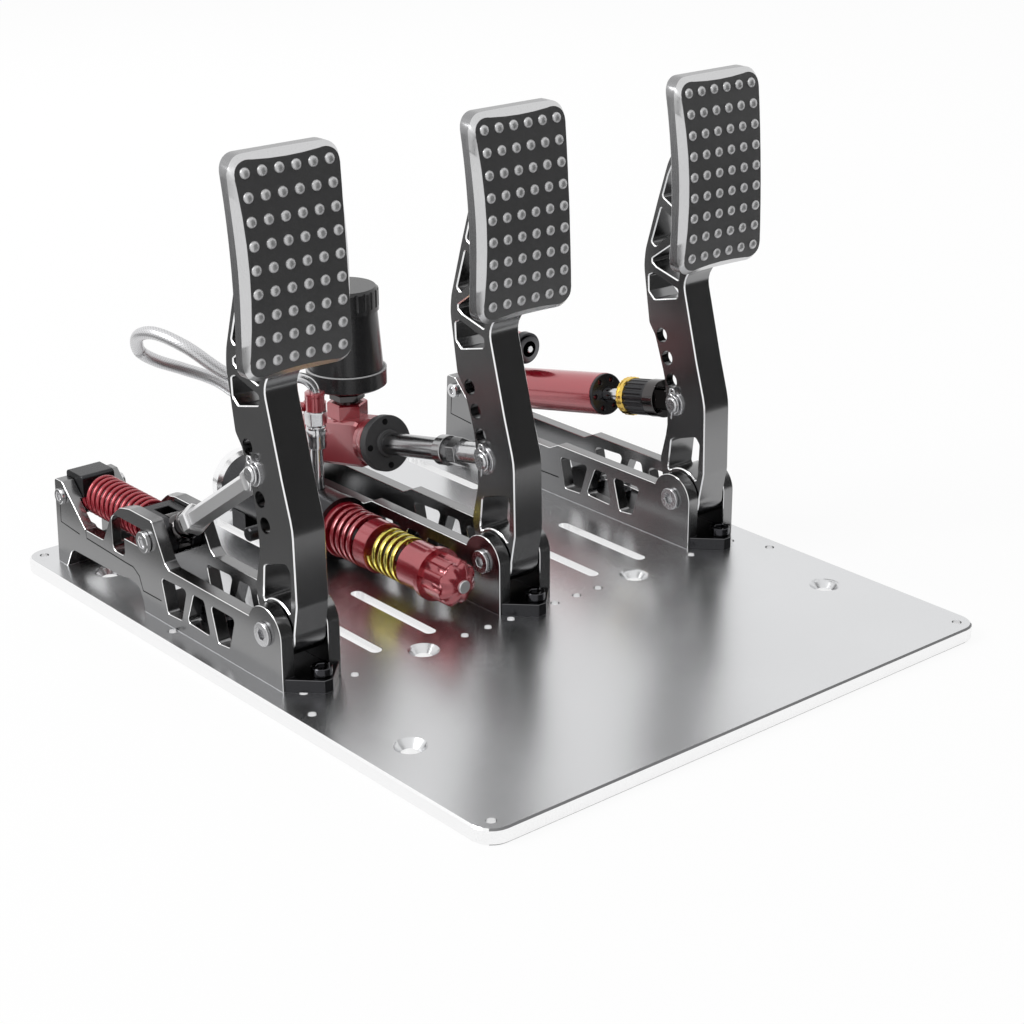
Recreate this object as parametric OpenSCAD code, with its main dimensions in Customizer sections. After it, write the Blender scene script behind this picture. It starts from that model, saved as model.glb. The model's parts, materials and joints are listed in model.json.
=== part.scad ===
// Three-pedal floor set for a driving simulator: clutch, brake and throttle on one base plate.
// X is the driver's right, Y points away from the driver, Z is up, all in millimetres.
// The origin is the centre of the base plate's underside.
// Side views are drawn as (Y, Z) points, with Z counted from the top of the base plate.

/* [Base plate] */
// Width of the base plate, side to side
plate_w = 400; // [380:1:440]
// Length of the base plate, front to back
plate_l = 488; // [470:1:520]
// Thickness of the base plate
plate_t = 10; // [8:0.5:16]
// Radius of the base plate's corners
plate_corner_r = 14; // [6:1:30]
// Radius of the small threaded holes
small_hole_r = 3; // [2:0.5:4]
// Radius of the countersunk holes for the rig's bolts
rig_hole_r = 5.5; // [4:0.5:6.5]
// Radius of the countersinks at the top face
countersink_r = 10; // [8:0.5:11]
// Length of the adjustment slots, end to end
slot_l = 83; // [40:1:90]
// Width of the adjustment slots
slot_w = 8; // [5:0.5:9]
// Distance between the rig bolts, side to side
rig_pitch_x = 340; // [330:1:350]
// Distance between the rig bolts, front to back
rig_pitch_y = 322; // [310:1:330]

/* [Pedal stations] */
// Distance from pedal to pedal
station_pitch = 165; // [155:1:168]
// Clear gap between the two side plates of a pedal
station_gap = 24.5; // [24.2:0.1:26]
// Thickness of a side plate
cheek_t = 8.75; // [8:0.25:10]
// Thickness of the foot block between the side plates
foot_t = 8; // [6:0.5:10]
// Height of the pedal pivot above the base plate
pivot_h = 32; // [30:0.5:34]
// Radius of the pivot bolt's shank
pivot_r = 6; // [5:0.25:7]
// Radius of the round boss about the pivot
boss_r = 17; // [15:0.5:18]
// Height of the rear bolt above the base plate
rear_bolt_h = 50; // [49:0.5:51]
// Radius of the rear bolt's shank
rear_bolt_r = 4; // [3:0.25:4.5]
// Half height of the guide slot in the side plates
guide_slot_r = 6.5; // [6:0.25:7]

/* [Arms and pads] */
// Width of a pedal arm
arm_w = 23; // [21:0.5:23.5]
// Width of the slot in the arm's back for the rod's eye
fork_w = 10.6; // [10.4:0.1:12]
// Radius of the link holes
link_hole_r = 5; // [4:0.25:5.5]
// Width of a pad
pad_w = 73; // [66:1:80]
// Thickness of a pad's metal body
pad_t = 10; // [8:0.5:12]
// Thickness of the tread on a pad
tread_t = 2; // [1:0.25:3]
// Radius of a pad's corners
pad_corner_r = 10; // [6:0.5:12]
// Radius of the curve of a pad's back
pad_curve_r = 371; // [365:1:380]

/* [Clutch] */
// Width across the flats of the push rod
push_rod_af = 9.5; // [8:0.25:10]
// Radius of the crosshead pin inside the crosshead
crosshead_pin_r = 4; // [3:0.25:4.5]
// Radius of the spring's guide rod
guide_rod_r = 4.5; // [3.5:0.25:5.5]
// Outer radius of the clutch spring
clutch_coil_r = 14; // [12:0.25:14]
// Radius of the clutch spring's wire
clutch_wire_r = 1.9; // [1.5:0.1:2.2]
// Turns of the clutch spring
clutch_turns = 9.5; // [7:0.5:10]

/* [Brake] */
// Outer radius of the master cylinder
master_r = 15.5; // [14:0.25:16]
// Radius of the brake's pushrod
push_r = 7.5; // [6:0.25:8]
// Radius of the master cylinder's flange
flange_r = 19; // [17:0.5:20]
// Outer radius of the reservoir at its foot
reservoir_r = 25.5; // [22:0.5:28]
// Wall of the reservoir
reservoir_wall = 2.5; // [1.5:0.25:4]
// Height of the reservoir's tapered body
reservoir_h = 44; // [36:1:60]
// Radius of the hose
hose_r = 4.3; // [3:0.1:5]

/* [Slave cylinder] */
// Outer radius of the slave cylinder
slave_r = 21; // [19:0.5:22]
// Radius of the slave cylinder's bore
slave_bore_r = 16; // [12:0.5:17]
// Radius of the rod through the spring stack
slave_rod_r = 4; // [3:0.25:5]
// Outer radius of the front, softer coil
front_coil_r = 15.5; // [13:0.5:16]
// Outer radius of the rear, stiffer coil
rear_coil_r = 17.5; // [15:0.5:18]
// Radius of the front coil's wire
front_wire_r = 2.4; // [1.8:0.1:2.5]
// Radius of the rear coil's wire
rear_wire_r = 2.2; // [1.6:0.1:2.4]
// Radius of the preload knob over its lobes
slave_knob_r = 15; // [13:0.5:18]

/* [Throttle damper] */
// Outer radius of the damper
damper_r = 14.5; // [13:0.25:15]
// Radius of the damper's rod
damper_rod_r = 4.8; // [3.5:0.1:5]
// Radius of the fluted knob
damper_knob_r = 12.5; // [11:0.25:14]
// Radius of the damper's adjuster disc
adjuster_r = 11.5; // [9:0.5:12]

/* [Hidden] */
$fn = 96;

// Which pedal stands where, counted in pitches from the middle
clutch = -1;
brake = 0;
throttle = 1;
stations = [clutch, brake, throttle];

// Clearances
fit = 0.05;       // radial play of a shaft that turns or slides in its bore
side_play = 0.35; // play of a moving piece beside a side plate
seat_play = 0.02; // radial play of pieces that are put together and stay
open_play = 0.9;  // radial play at a link's open pivot
turn_gap = 0.1;   // gap beside a knob that turns
over = 1;         // how far a cut runs past a face

gap_half = station_gap / 2;
cheek_out = gap_half + cheek_t;
arm_half = arm_w / 2;
core_half = gap_half - side_play; // half width of what lies between the side plates
fork_half = fork_w / 2;
blade_half = fork_half - 0.5;     // half width of a rod's flat eye

// Places in the side view
pivot_y = -24;
pivot = [pivot_y, pivot_h];
rear_bolt = [207, rear_bolt_h];
tie_bolt = [104, 50];
crosshead_stroke = 30;
spring_y = [126, 195];
link_holes = [[8, 63], [12, 78], [16.8, 92.9], [22.4, 107.4]]; // from the pivot
low_hole = pivot + link_holes[0];
clutch_hole = pivot + link_holes[2];
link_l = norm(low_hole - rear_bolt);
rod_l = norm(clutch_hole - tie_bolt);
pin_r = link_hole_r - 0.1;

function unit(v) = v / norm(v);
function turn(a) = a > 180 ? a - 360 : a < -180 ? a + 360 : a;

// Round one corner b, between a and c, with radius r
function corner(a, b, c, r) =
    let (
        u = unit(a - b),
        v = unit(c - b),
        half = acos(u * v) / 2,
        mid = b + unit(u + v) * r / sin(half),
        p = b + u * r / tan(half) - mid,
        q = b + v * r / tan(half) - mid,
        from = atan2(p[1], p[0]),
        sweep = turn(atan2(q[1], q[0]) - from),
        steps = max(2, ceil(abs(sweep) / 15))
    )
    [for (i = [0:steps]) mid + r * [cos(from + sweep * i / steps), sin(from + sweep * i / steps)]];

// Outline through [x, y, radius] corners
function rounded(points) =
    let (n = len(points))
    [
        for (i = [0:n - 1])
        let (a = points[(i + n - 1) % n], b = points[i], c = points[(i + 1) % n])
        each (b[2] > 0 ? corner([a[0], a[1]], [b[0], b[1]], [c[0], c[1]], b[2]) : [[b[0], b[1]]])
    ];

// Height of the line from the rear bolt to the low link hole, at depth y
function link_z(y) = rear_bolt[1] + (rear_bolt[0] - y) * (low_hole[1] - rear_bolt[1]) / (rear_bolt[0] - low_hole[0]);

// Put children on a pedal station, on top of the base plate
module at(station) translate([station * station_pitch, 0, plate_t]) children();

// A slab whose side view is the 2D child, from x0 to x1
module slab(x0, x1) translate([x0, 0, 0]) rotate([90, 0, 90]) linear_extrude(x1 - x0) children();

// Round bars along X, Y and Z
module bar_x(x0, x1, p, r) translate([x0, p[0], p[1]]) rotate([0, 90, 0]) cylinder(r = r, h = x1 - x0);
module bar_y(y0, y1, x, z, r) translate([x, y0, z]) rotate([-90, 0, 0]) cylinder(r = r, h = y1 - y0);
module bar_z(z0, z1, x, y, r) translate([x, y, z0]) cylinder(r = r, h = z1 - z0);

// Children stand along the line from side-view point a to point b, with their own Z towards b
module along(a, b) translate([0, a[0], a[1]]) rotate([atan2(a[0] - b[0], b[1] - a[1]), 0, 0]) children();

// A hexagonal bar with two flats square to X, along Z
module hex_bar(z0, z1, flats) translate([0, 0, z0]) rotate([0, 0, 30])
    cylinder(r = flats / sqrt(3), h = z1 - z0, $fn = 6);

// A tube with hexagonal section swept along points, each ring square to the path
function ring_axis(path, i) = unit(path[min(i + 1, len(path) - 1)] - path[max(i - 1, 0)]);
function ring(path, i, r, sides) =
    let (
        t = ring_axis(path, i),
        guess = abs(t[1]) < 0.9 ? [0, 1, 0] : [1, 0, 0],
        u = unit(cross(t, guess)),
        v = cross(t, u)
    )
    [for (k = [0:sides - 1]) path[i] + r * (u * cos(360 * k / sides) + v * sin(360 * k / sides))];

module swept(path, r, sides) {
    n = len(path);
    points = [for (i = [0:n - 1]) each ring(path, i, r, sides)];
    walls = [
        for (i = [0:n - 2]) for (k = [0:sides - 1])
        let (a = i * sides + k, b = i * sides + (k + 1) % sides)
        each [[a, b, b + sides], [a, b + sides, a + sides]]
    ];
    first = [for (k = [1:sides - 2]) [0, k + 1, k]];
    last = [for (k = [1:sides - 2]) [(n - 1) * sides, (n - 1) * sides + k, (n - 1) * sides + k + 1]];
    polyhedron(points, concat(walls, first, last));
}

// Coil springs along Z from 0 to l
coil_rings = 8; // rings in each curl
coil_sides = 6;
coil_seat = 0.1; // gap between a coil's end and its seat
function coil_path(l, coil_r, wire_r, turns) =
    let (rise = l - 2 * (wire_r + coil_seat), n = ceil(turns * coil_rings))
    [
        for (i = [0:n])
        let (f = i / n, a = 360 * turns * f)
        [(coil_r - wire_r) * cos(a), (coil_r - wire_r) * sin(a), wire_r + coil_seat + rise * f]
    ];
function coil_gap(l, coil_r, wire_r, turns) =
    let (path = coil_path(l, coil_r, wire_r, turns), n = len(path))
    min([for (i = [0:n - 1 - coil_rings / 2]) for (j = [i + coil_rings / 2:n - 1]) norm(path[i] - path[j])])
    - 2 * wire_r;
module coil(name, l, coil_r, wire_r, turns) {
    echo(str(name, " least gap between its turns, mm: ", coil_gap(l, coil_r, wire_r, turns)));
    swept(coil_path(l, coil_r, wire_r, turns), wire_r, coil_sides);
}

// Base plate
edge_hole_x = 189;
edge_hole_y = [-233.5, -74, 74, 233.5];
row_y = -48.5;
row_x = [18.4, 37, 55.6, 139.8, 176.8];
centre_bolt_x = 88;
rig_front_y = -140.7;
slot_x = [68.2, 110.1];
slot_y = [8.2, 179.5];
foot_screw_places = [[1.5, -48.8], [0, 46], [0, 73]]; // across, along
foot_screw_r = 4;

module plate_outline() {
    w = plate_w / 2;
    l = plate_l / 2;
    r = plate_corner_r;
    polygon(rounded([[-w, -l, r], [w, -l, r], [w, l, r], [-w, l, r]]));
}

module countersunk(x, y) {
    bar_z(-over, plate_t + over, x, y, rig_hole_r);
    sink = min(plate_t - 1, countersink_r - rig_hole_r);
    translate([x, y, plate_t - sink]) cylinder(r1 = rig_hole_r, r2 = countersink_r, h = sink + 0.001);
}

module base_plate() color("#c9ccd0") difference() {
    linear_extrude(plate_t) difference() {
        plate_outline();
        for (s = [-1, 1]) for (x = slot_x) for (y = slot_y)
            translate([s * x, y]) {
                square([slot_w, slot_l - slot_w], center = true);
                for (e = [-1, 1]) translate([0, e * (slot_l - slot_w) / 2]) circle(slot_w / 2);
            }
    }
    for (s = [-1, 1]) {
        for (y = edge_hole_y) bar_z(-over, plate_t + over, s * edge_hole_x, y, small_hole_r);
        for (x = row_x) bar_z(-over, plate_t + over, s * x, row_y, small_hole_r);
        countersunk(s * rig_pitch_x / 2, rig_front_y);
        countersunk(s * rig_pitch_x / 2, rig_front_y + rig_pitch_y);
        countersunk(s * centre_bolt_x, row_y);
    }
    for (i = stations) for (p = foot_screw_places)
        bar_z(-over, plate_t + over, i * station_pitch + p[0], p[1], foot_screw_r + seat_play);
    for (p = slave_screw_places)
        bar_z(-over, plate_t + over, slave_x + p[0], p[1], slave_foot_screw_r + seat_play);
}

// Side plates
rail_h = 38.3;
hump_h = 66;
notch_h = 34;
post_h = 59.8;
foot_end = 111.4;
rear_foot = [208, 219];
front_y = pivot_y - boss_r;
cheek_outline = [
    [front_y, 0, 0], [foot_end, 0, 0], [foot_end, 5, 2], [116, 15, 6], [126, 17, 8], [140, 15, 12],
    [199.6, 14.2, 8], [rear_foot[0], 0, 0], [rear_foot[1], 0, 0], [216, post_h, 2], [206.5, post_h, 2],
    [180, notch_h, 4], [157.3, notch_h, 3], [146, 54, 8], [134, 63.5, 10], [122, hump_h, 12],
    [96, hump_h, 3], [83.5, 42, 3], [78.5, rail_h, 3], [pivot_y + 12, rail_h, 2], [front_y, pivot_h, 0]
];
window_r = 2.5;
cheek_windows = [
    [[88.5, 30.2], [59.5, 31.4], [67, 8.7], [83, 7.9]],
    [[52, 31], [40.4, 31], [35, 9.2], [60.5, 10.2]],
    [[33, 30.5], [7, 30.4], [13.8, 9], [26.4, 7.7]]
];
guide_slot = [tie_bolt[0] - 0.5, tie_bolt[0] + crosshead_stroke + 5]; // centres of the slot's round ends
lobe_y = [131, 145.5];
lobe_h = 31;

module window(corners, r) polygon(rounded([for (p = corners) [p[0], p[1], r]]));

module cheek_shape() difference() {
    union() {
        polygon(rounded(cheek_outline));
        translate(pivot) circle(boss_r);
    }
    for (w = cheek_windows) window(w, window_r);
    translate([guide_slot[0], tie_bolt[1] - guide_slot_r])
        square([guide_slot[1] - guide_slot[0], 2 * guide_slot_r]);
    for (y = guide_slot) translate([y, tie_bolt[1]]) circle(guide_slot_r);
    polygon(rounded([
        [lobe_y[0], lobe_h, 4], [lobe_y[1], lobe_h, 4],
        [lobe_y[1], tie_bolt[1], 0], [lobe_y[0], tie_bolt[1], 0]
    ]));
    translate(pivot) circle(pivot_r + seat_play);
    translate(rear_bolt) circle(rear_bolt_r + seat_play);
}

module cheek(station, side) color("#2b2b2e") at(station)
    slab(side < 0 ? -cheek_out : gap_half, side < 0 ? -gap_half : cheek_out) cheek_shape();

// The clutch's side plates have a pocket inside, so that the wide spring clears them
pocket_y = [spring_y[0] - 3, spring_y[1] + 1];
module clutch_cheek(side) color("#2b2b2e") difference() {
    cheek(clutch, side);
    depth = clutch_coil_r + side_play;
    at(clutch) translate([-depth, pocket_y[0], tie_bolt[1] - depth])
        cube([2 * depth, pocket_y[1] - pocket_y[0], 2 * depth]);
}

// Foot blocks
nose_y = -57.7;
nose_chamfer = 18;
rear_block_h = 14;
module pedal_feet() color("#1f1f21") for (i = stations) at(i) {
    difference() {
        linear_extrude(foot_t) polygon([
            [gap_half, foot_end], [-gap_half, foot_end], [-gap_half, front_y],
            [nose_chamfer - cheek_out + nose_y - front_y, front_y],
            [nose_chamfer - cheek_out, nose_y],
            [cheek_out, nose_y], [cheek_out, front_y], [gap_half, front_y]
        ]);
        for (p = foot_screw_places) bar_z(-over, foot_t + over, p[0], p[1], foot_screw_r + seat_play);
    }
    translate([-gap_half, rear_foot[0], 0]) cube([station_gap, rear_foot[1] - rear_foot[0] - 3, rear_block_h]);
}

// A cap screw along Z with its head's underside at z, threaded end down by l
module cap_screw(z, r, l) difference() {
    union() {
        bar_z(z - l, z + 0.01, 0, 0, r);
        bar_z(z, z + 2 * r, 0, 0, 1.6 * r);
    }
    hex_bar(z + r, z + 2 * r + over, 1.5 * r);
}
module foot_screws() color("#26262a") for (i = stations) at(i) for (p = foot_screw_places)
    translate([p[0], p[1], 0]) cap_screw(foot_t, foot_screw_r, foot_t + plate_t - 1);

// Pivots
pivot_head_r = 7.5;
pivot_head_t = 2.5;
bush_r = 9.5;
bush_flange_t = 0.4;
bush_inner = 2; // half distance between the two bearings of one arm
module pivot_bolts() color("#d7d9dc") for (i = stations) at(i) difference() {
    union() {
        bar_x(-cheek_out, cheek_out, pivot, pivot_r);
        for (s = [-1, 1]) bar_x(s < 0 ? -cheek_out - pivot_head_t : cheek_out,
            s < 0 ? -cheek_out : cheek_out + pivot_head_t, pivot, pivot_head_r);
    }
    translate([-cheek_out - pivot_head_t - over, pivot[0], pivot[1]]) rotate([0, 90, 0])
        hex_bar(0, pivot_head_t + 2, pivot_r);
}
module bearing(side) {
    x0 = side < 0 ? -gap_half : bush_inner;
    x1 = side < 0 ? -bush_inner : gap_half;
    f0 = side < 0 ? -gap_half : gap_half - bush_flange_t;
    difference() {
        union() {
            bar_x(x0, x1, pivot, bush_r);
            bar_x(f0, f0 + bush_flange_t, pivot, bush_r + 2);
        }
        bar_x(x0 - over, x1 + over, pivot, pivot_r + seat_play);
    }
}
module pivot_bearings() color("#b8893a") for (i = stations) at(i) for (s = [-1, 1]) bearing(s);

// Cross bolts: rear bolts, the clutch's two trunnion screws, and the tie bolts in the guide slots
rear_head_r = 5.25;
rear_head_t = 3;
tie_head_r = guide_slot_r + 0.4;
tie_head_t = 3;
roller_r = guide_slot_r - 0.08;
trunnion_in = gap_half - 5; // inner end of a trunnion screw
module bolt_head(side, x, p, r, t) difference() {
    bar_x(side < 0 ? -x - t : x, side < 0 ? -x : x + t, p, r);
    translate([side < 0 ? -x - t - over : x + t / 2, p[0], p[1]]) rotate([0, 90, 0]) hex_bar(0, t / 2 + over, r);
}
module cross_bolts() color("#d7d9dc") {
    at(clutch) for (s = [-1, 1]) {
        bar_x(s < 0 ? -cheek_out : trunnion_in, s < 0 ? -trunnion_in : cheek_out, rear_bolt, rear_bolt_r);
        bolt_head(s, cheek_out, rear_bolt, rear_head_r, rear_head_t);
    }
    for (i = [brake, throttle]) at(i) {
        bar_x(-cheek_out, cheek_out, rear_bolt, rear_bolt_r);
        for (s = [-1, 1]) bolt_head(s, cheek_out, rear_bolt, rear_head_r, rear_head_t);
        slotted_pin(tie_bolt, 0);
    }
}

// A pin across both guide slots, with a roller in each and a head outside each
module slotted_pin(p, head_play) {
    bar_x(-gap_half, gap_half, p, crosshead_pin_r);
    for (s = [-1, 1]) {
        bar_x(s < 0 ? -cheek_out - head_play : gap_half - side_play / 2,
            s < 0 ? -gap_half + side_play / 2 : cheek_out + head_play, p, roller_r);
        bolt_head(s, cheek_out + head_play, p, tie_head_r, tie_head_t);
    }
}

// Spacers beside the rear eyes
eye_half = 6;
spacer_r = 7.5;
module rear_spacers() color("#d7d9dc") for (i = [brake, throttle]) at(i) for (s = [-1, 1]) difference() {
    x0 = eye_half + 0.2;
    bar_x(s < 0 ? -gap_half : x0, s < 0 ? -x0 : gap_half, rear_bolt, spacer_r);
    bar_x(-gap_half - over, gap_half + over, rear_bolt, rear_bolt_r + seat_play);
}

// Arms, drawn from the pivot
pad_mid = [pad_curve_r - 9, 199];  // centre of the pads' curve
pad_low = -39;                     // lower end of a pad, from the curve's centre
pad_high = 86;
head_low = -36;                    // stretch of the arm's head that carries the pad
head_high = 68;
function on_pad_back(z) = [pad_mid[0] - sqrt(pow(pad_curve_r - 0.03, 2) - z * z), pad_mid[1] + z, 0];
arm_front = [[-10, -10, 0], [-16.8, 1, 0], [-20.5, 20, 12], [-19.5, 68, 40], [-10.8, 96, 60], [3.5, 148, 14]];
arm_rear = [
    [21, 224, 30], [29.6, 197.6, 60], [40, 163, 30], [41.2, 152, 30], [37, 126, 20], [34.9, 113.3, 6],
    [28.9, 105.7, 10], [19, 79, 50], [14.8, 46.4, 40], [21.3, 20.8, 10], [16.8, 1, 0], [10, -10, 0]
];
arm_windows = [
    [[24.8, 201], [20, 216], [11, 234], [1, 246], [-2.2, 187.5]],
    [[25.7, 194], [34, 169], [30.5, 166.5], [9, 184.5]],
    [[33, 158], [33, 155.5], [29, 153], [8, 148], [7, 160], [-2, 172], [-2, 182.5]],
    [[36, 146], [32, 148], [8.5, 142], [8.5, 136], [30, 130.5], [35.5, 135]]
];
arm_window_r = [2, 1.5, 1, 2];
hub_arc_r = 19;
module arm_shape() difference() {
    polygon(rounded(concat(
        arm_front,
        [for (z = [head_low:8:head_high]) on_pad_back(z)],
        arm_rear
    )));
    for (i = [0:3]) window(arm_windows[i], arm_window_r[i]);
    difference() {
        window([[11, 37.2], [-11.2, 44.5], [-15.3, 40.4], [-14.2, 14], [13.5, 14]], 3);
        circle(hub_arc_r);
    }
    for (p = link_holes) translate(p) circle(link_hole_r);
    circle(bush_r + fit);
}
fork_cut = [[-8, 50], [60, 50], [60, 122], [12, 122]];
module arm_boss() difference() {
    bar_x(-arm_half, arm_half, [0, 0], boss_r);
    bar_x(-arm_half - over, arm_half + over, [0, 0], bush_r + fit);
}
module arm(station) color("#2b2b2e") at(station) translate([0, pivot[0], pivot[1]]) difference() {
    union() {
        slab(-arm_half, arm_half) arm_shape();
        arm_boss();
    }
    slab(-fork_half, fork_half) polygon(fork_cut);
}

// Pads: a curved block, with a waisted tread on its face
module curved(inner, outer) translate([-pad_w, pivot[0] + pad_mid[0], pivot[1] + pad_mid[1]]) rotate([0, 90, 0])
    difference() {
        cylinder(r = outer, h = 2 * pad_w, $fn = 360);
        translate([0, 0, -over]) cylinder(r = inner, h = 2 * pad_w + 2 * over, $fn = 360);
    }
module facing() translate([0, pivot[0], pivot[1] + pad_mid[1]]) rotate([90, 0, 0]) linear_extrude(80) children();
module pad(station) color("#9a9da1") at(station) intersection() {
    curved(pad_curve_r, pad_curve_r + pad_t);
    w = pad_w / 2;
    r = pad_corner_r;
    facing() polygon(rounded([[-w, pad_low, r], [w, pad_low, r], [w, pad_high, r], [-w, pad_high, r]]));
}
tread_edge = 1;      // bare rim beside the tread's corners
tread_waist = 3.4;   // how far the tread's sides draw in
tread_dip = 3;       // how far its upper edge dips in the middle
tread_rise = 3.5;    // how far its lower edge rises in the middle
function tread_half(z) =
    pad_w / 2 - tread_edge - tread_waist * (1 - pow((z - (pad_low + pad_high) / 2) / ((pad_high - pad_low) / 2), 2));
tread_low = pad_low + 1.2;
tread_high = pad_high - 1.2;
tread_side = [for (f = [0:0.125:1]) tread_low + (tread_high - tread_low) * f];
tread_corner_r = 9;
tread_right = [
    for (z = tread_side) [tread_half(z), z, z < tread_low + 0.1 || z > tread_high - 0.1 ? tread_corner_r : 0]
];
across = [0.6, 0.3, 0, -0.3, -0.6];
tread_top = [for (f = across) [f * pad_w / 2, tread_high - tread_dip * (1 - f * f), 0]];
tread_bottom = [for (f = across) [-f * pad_w / 2, tread_low + tread_rise * (1 - f * f), 0]];
tread_left = [for (i = [len(tread_right) - 1:-1:0]) [-tread_right[i][0], tread_right[i][1], tread_right[i][2]]];
module tread(station) color("#3a3a3c") at(station) {
    intersection() {
        curved(pad_curve_r + pad_t, pad_curve_r + pad_t + tread_t);
        facing() polygon(rounded(concat(tread_right, tread_top, tread_left, tread_bottom)));
    }
    for (i = [0:stud_columns - 1]) for (j = [0:stud_rows - 1])
        stud((i - (stud_columns - 1) / 2) * stud_pitch[0], pad_high - stud_from_top - j * stud_pitch[1]);
}

// Studs in a grid that follows the tread's curve
stud_columns = 6;
stud_rows = 9;
stud_pitch = [11.1, 13.1];
stud_from_top = 9; // from the pad's upper edge to the top row
stud_foot_r = 3.2;
stud_top_r = 2.2;
stud_h = 1.2;
module stud(x, z) {
    r = pad_curve_r + pad_t + tread_t;
    translate([x, pivot[0] + pad_mid[0], pivot[1] + pad_mid[1]]) rotate([90 - z / r * 180 / PI, 0, 0])
        translate([0, 0, r - 0.05]) cylinder(r1 = stud_foot_r, r2 = stud_top_r, h = stud_h + 0.05);
}

// Link pins: a head on the right, a washer and a free end for the clip on the left
pin_head_r = 7.5;
pin_head_t = 3;
washer_t = 1.5;
washer_r = 7.5;
brake_washer_r = 9;
pin_free = 9;
clip_hole_r = 1.4;
module link_pin(station, p, disc_r) color("#d7d9dc") at(station) difference() {
    union() {
        bar_x(-arm_half - pin_free, arm_half + 0.01, p, pin_r);
        bar_x(arm_half, arm_half + pin_head_t, p, pin_head_r);
        bar_x(-arm_half - washer_t, -arm_half, p, disc_r);
    }
    bar_z(p[1] - 2 * pin_r, p[1] + 2 * pin_r, -arm_half - pin_free + 3, p[0], clip_hole_r);
}

// A flat eye at the origin, with its shank up to z = l
module flat_eye(eye_r, half, bore_r, shank_r, l) difference() {
    union() {
        bar_x(-half, half, [0, 0], eye_r);
        intersection() {
            bar_z(0, l, 0, 0, shank_r);
            translate([-half, -shank_r, 0]) cube([2 * half, 2 * shank_r, l]);
        }
    }
    bar_x(-half - over, half + over, [0, 0], bore_r);
}

// Clutch linkage
link_eye_r = 9.5;
rod_thread_r = 4;
rod_end_start = 80;
rod_end_r = 8;
rod_end_eye_r = 13;
module clutch_rod() color("#d7d9dc") at(clutch) along(clutch_hole, tie_bolt) {
    flat_eye(link_eye_r, blade_half, pin_r + fit, 7, 17);
    hex_bar(17, rod_end_start, push_rod_af);
    bar_z(rod_end_start - 0.01, rod_end_start + 12, 0, 0, rod_thread_r);
}
module clutch_rod_end() color("#1f1f21") at(clutch) along(tie_bolt, clutch_hole) difference() {
    union() {
        flat_eye(rod_end_eye_r, blade_half, crosshead_pin_r + open_play, rod_end_r, 24);
        bar_z(18, rod_l - rod_end_start, 0, 0, rod_end_r);
    }
    bar_z(rod_l - rod_end_start - 13, rod_l - rod_end_start + over, 0, 0, rod_thread_r + seat_play);
}

block_l = 21;
block_y = [spring_y[1], spring_y[1] + block_l];
block_h = [38, 64];
ear_r = 13;
crosshead_front = tie_bolt[0] - ear_r;
bridge_y = [tie_bolt[0] + rod_end_eye_r + 1.2, spring_y[0]];
module clutch_crosshead() color("#1f1f21") at(clutch) difference() {
    slab(-core_half, core_half) union() {
        translate(tie_bolt) circle(ear_r);
        translate([tie_bolt[0], tie_bolt[1] - ear_r]) square([bridge_y[1] - tie_bolt[0], 2 * ear_r]);
    }
    slab(-blade_half - 0.4, blade_half + 0.4)
        translate([crosshead_front - over, -over]) square([bridge_y[0] - crosshead_front + over, 2 * tie_bolt[1]]);
    bar_x(-gap_half, gap_half, tie_bolt, crosshead_pin_r + seat_play);
    bar_y(bridge_y[0] - over, bridge_y[1] + over, 0, tie_bolt[1], guide_rod_r + seat_play);
}
module crosshead_pin() color("#d7d9dc") at(clutch) slotted_pin(tie_bolt, side_play);
guide_tip = 206;
module clutch_spring_guide() color("#d7d9dc") at(clutch)
    bar_y(bridge_y[0] + 1, guide_tip, 0, tie_bolt[1], guide_rod_r);
module clutch_spring() color("#9c1526") at(clutch) translate([0, spring_y[0], tie_bolt[1]]) rotate([-90, 0, 0])
    coil("clutch spring", spring_y[1] - spring_y[0], clutch_coil_r, clutch_wire_r, clutch_turns);
module clutch_spring_block() color("#1f1f21") at(clutch) difference() {
    slab(-core_half, core_half) polygon(rounded([
        [block_y[0], block_h[0], 3], [block_y[1], block_h[0], 3],
        [block_y[1], block_h[1], 3], [block_y[0], block_h[1], 3]
    ]));
    bar_y(block_y[0] - over, block_y[1] + over, 0, tie_bolt[1], guide_rod_r + fit);
    for (s = [-1, 1]) bar_x(s < 0 ? -gap_half : trunnion_in - 0.5, s < 0 ? -trunnion_in + 0.5 : gap_half,
        rear_bolt, rear_bolt_r + seat_play);
}

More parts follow.
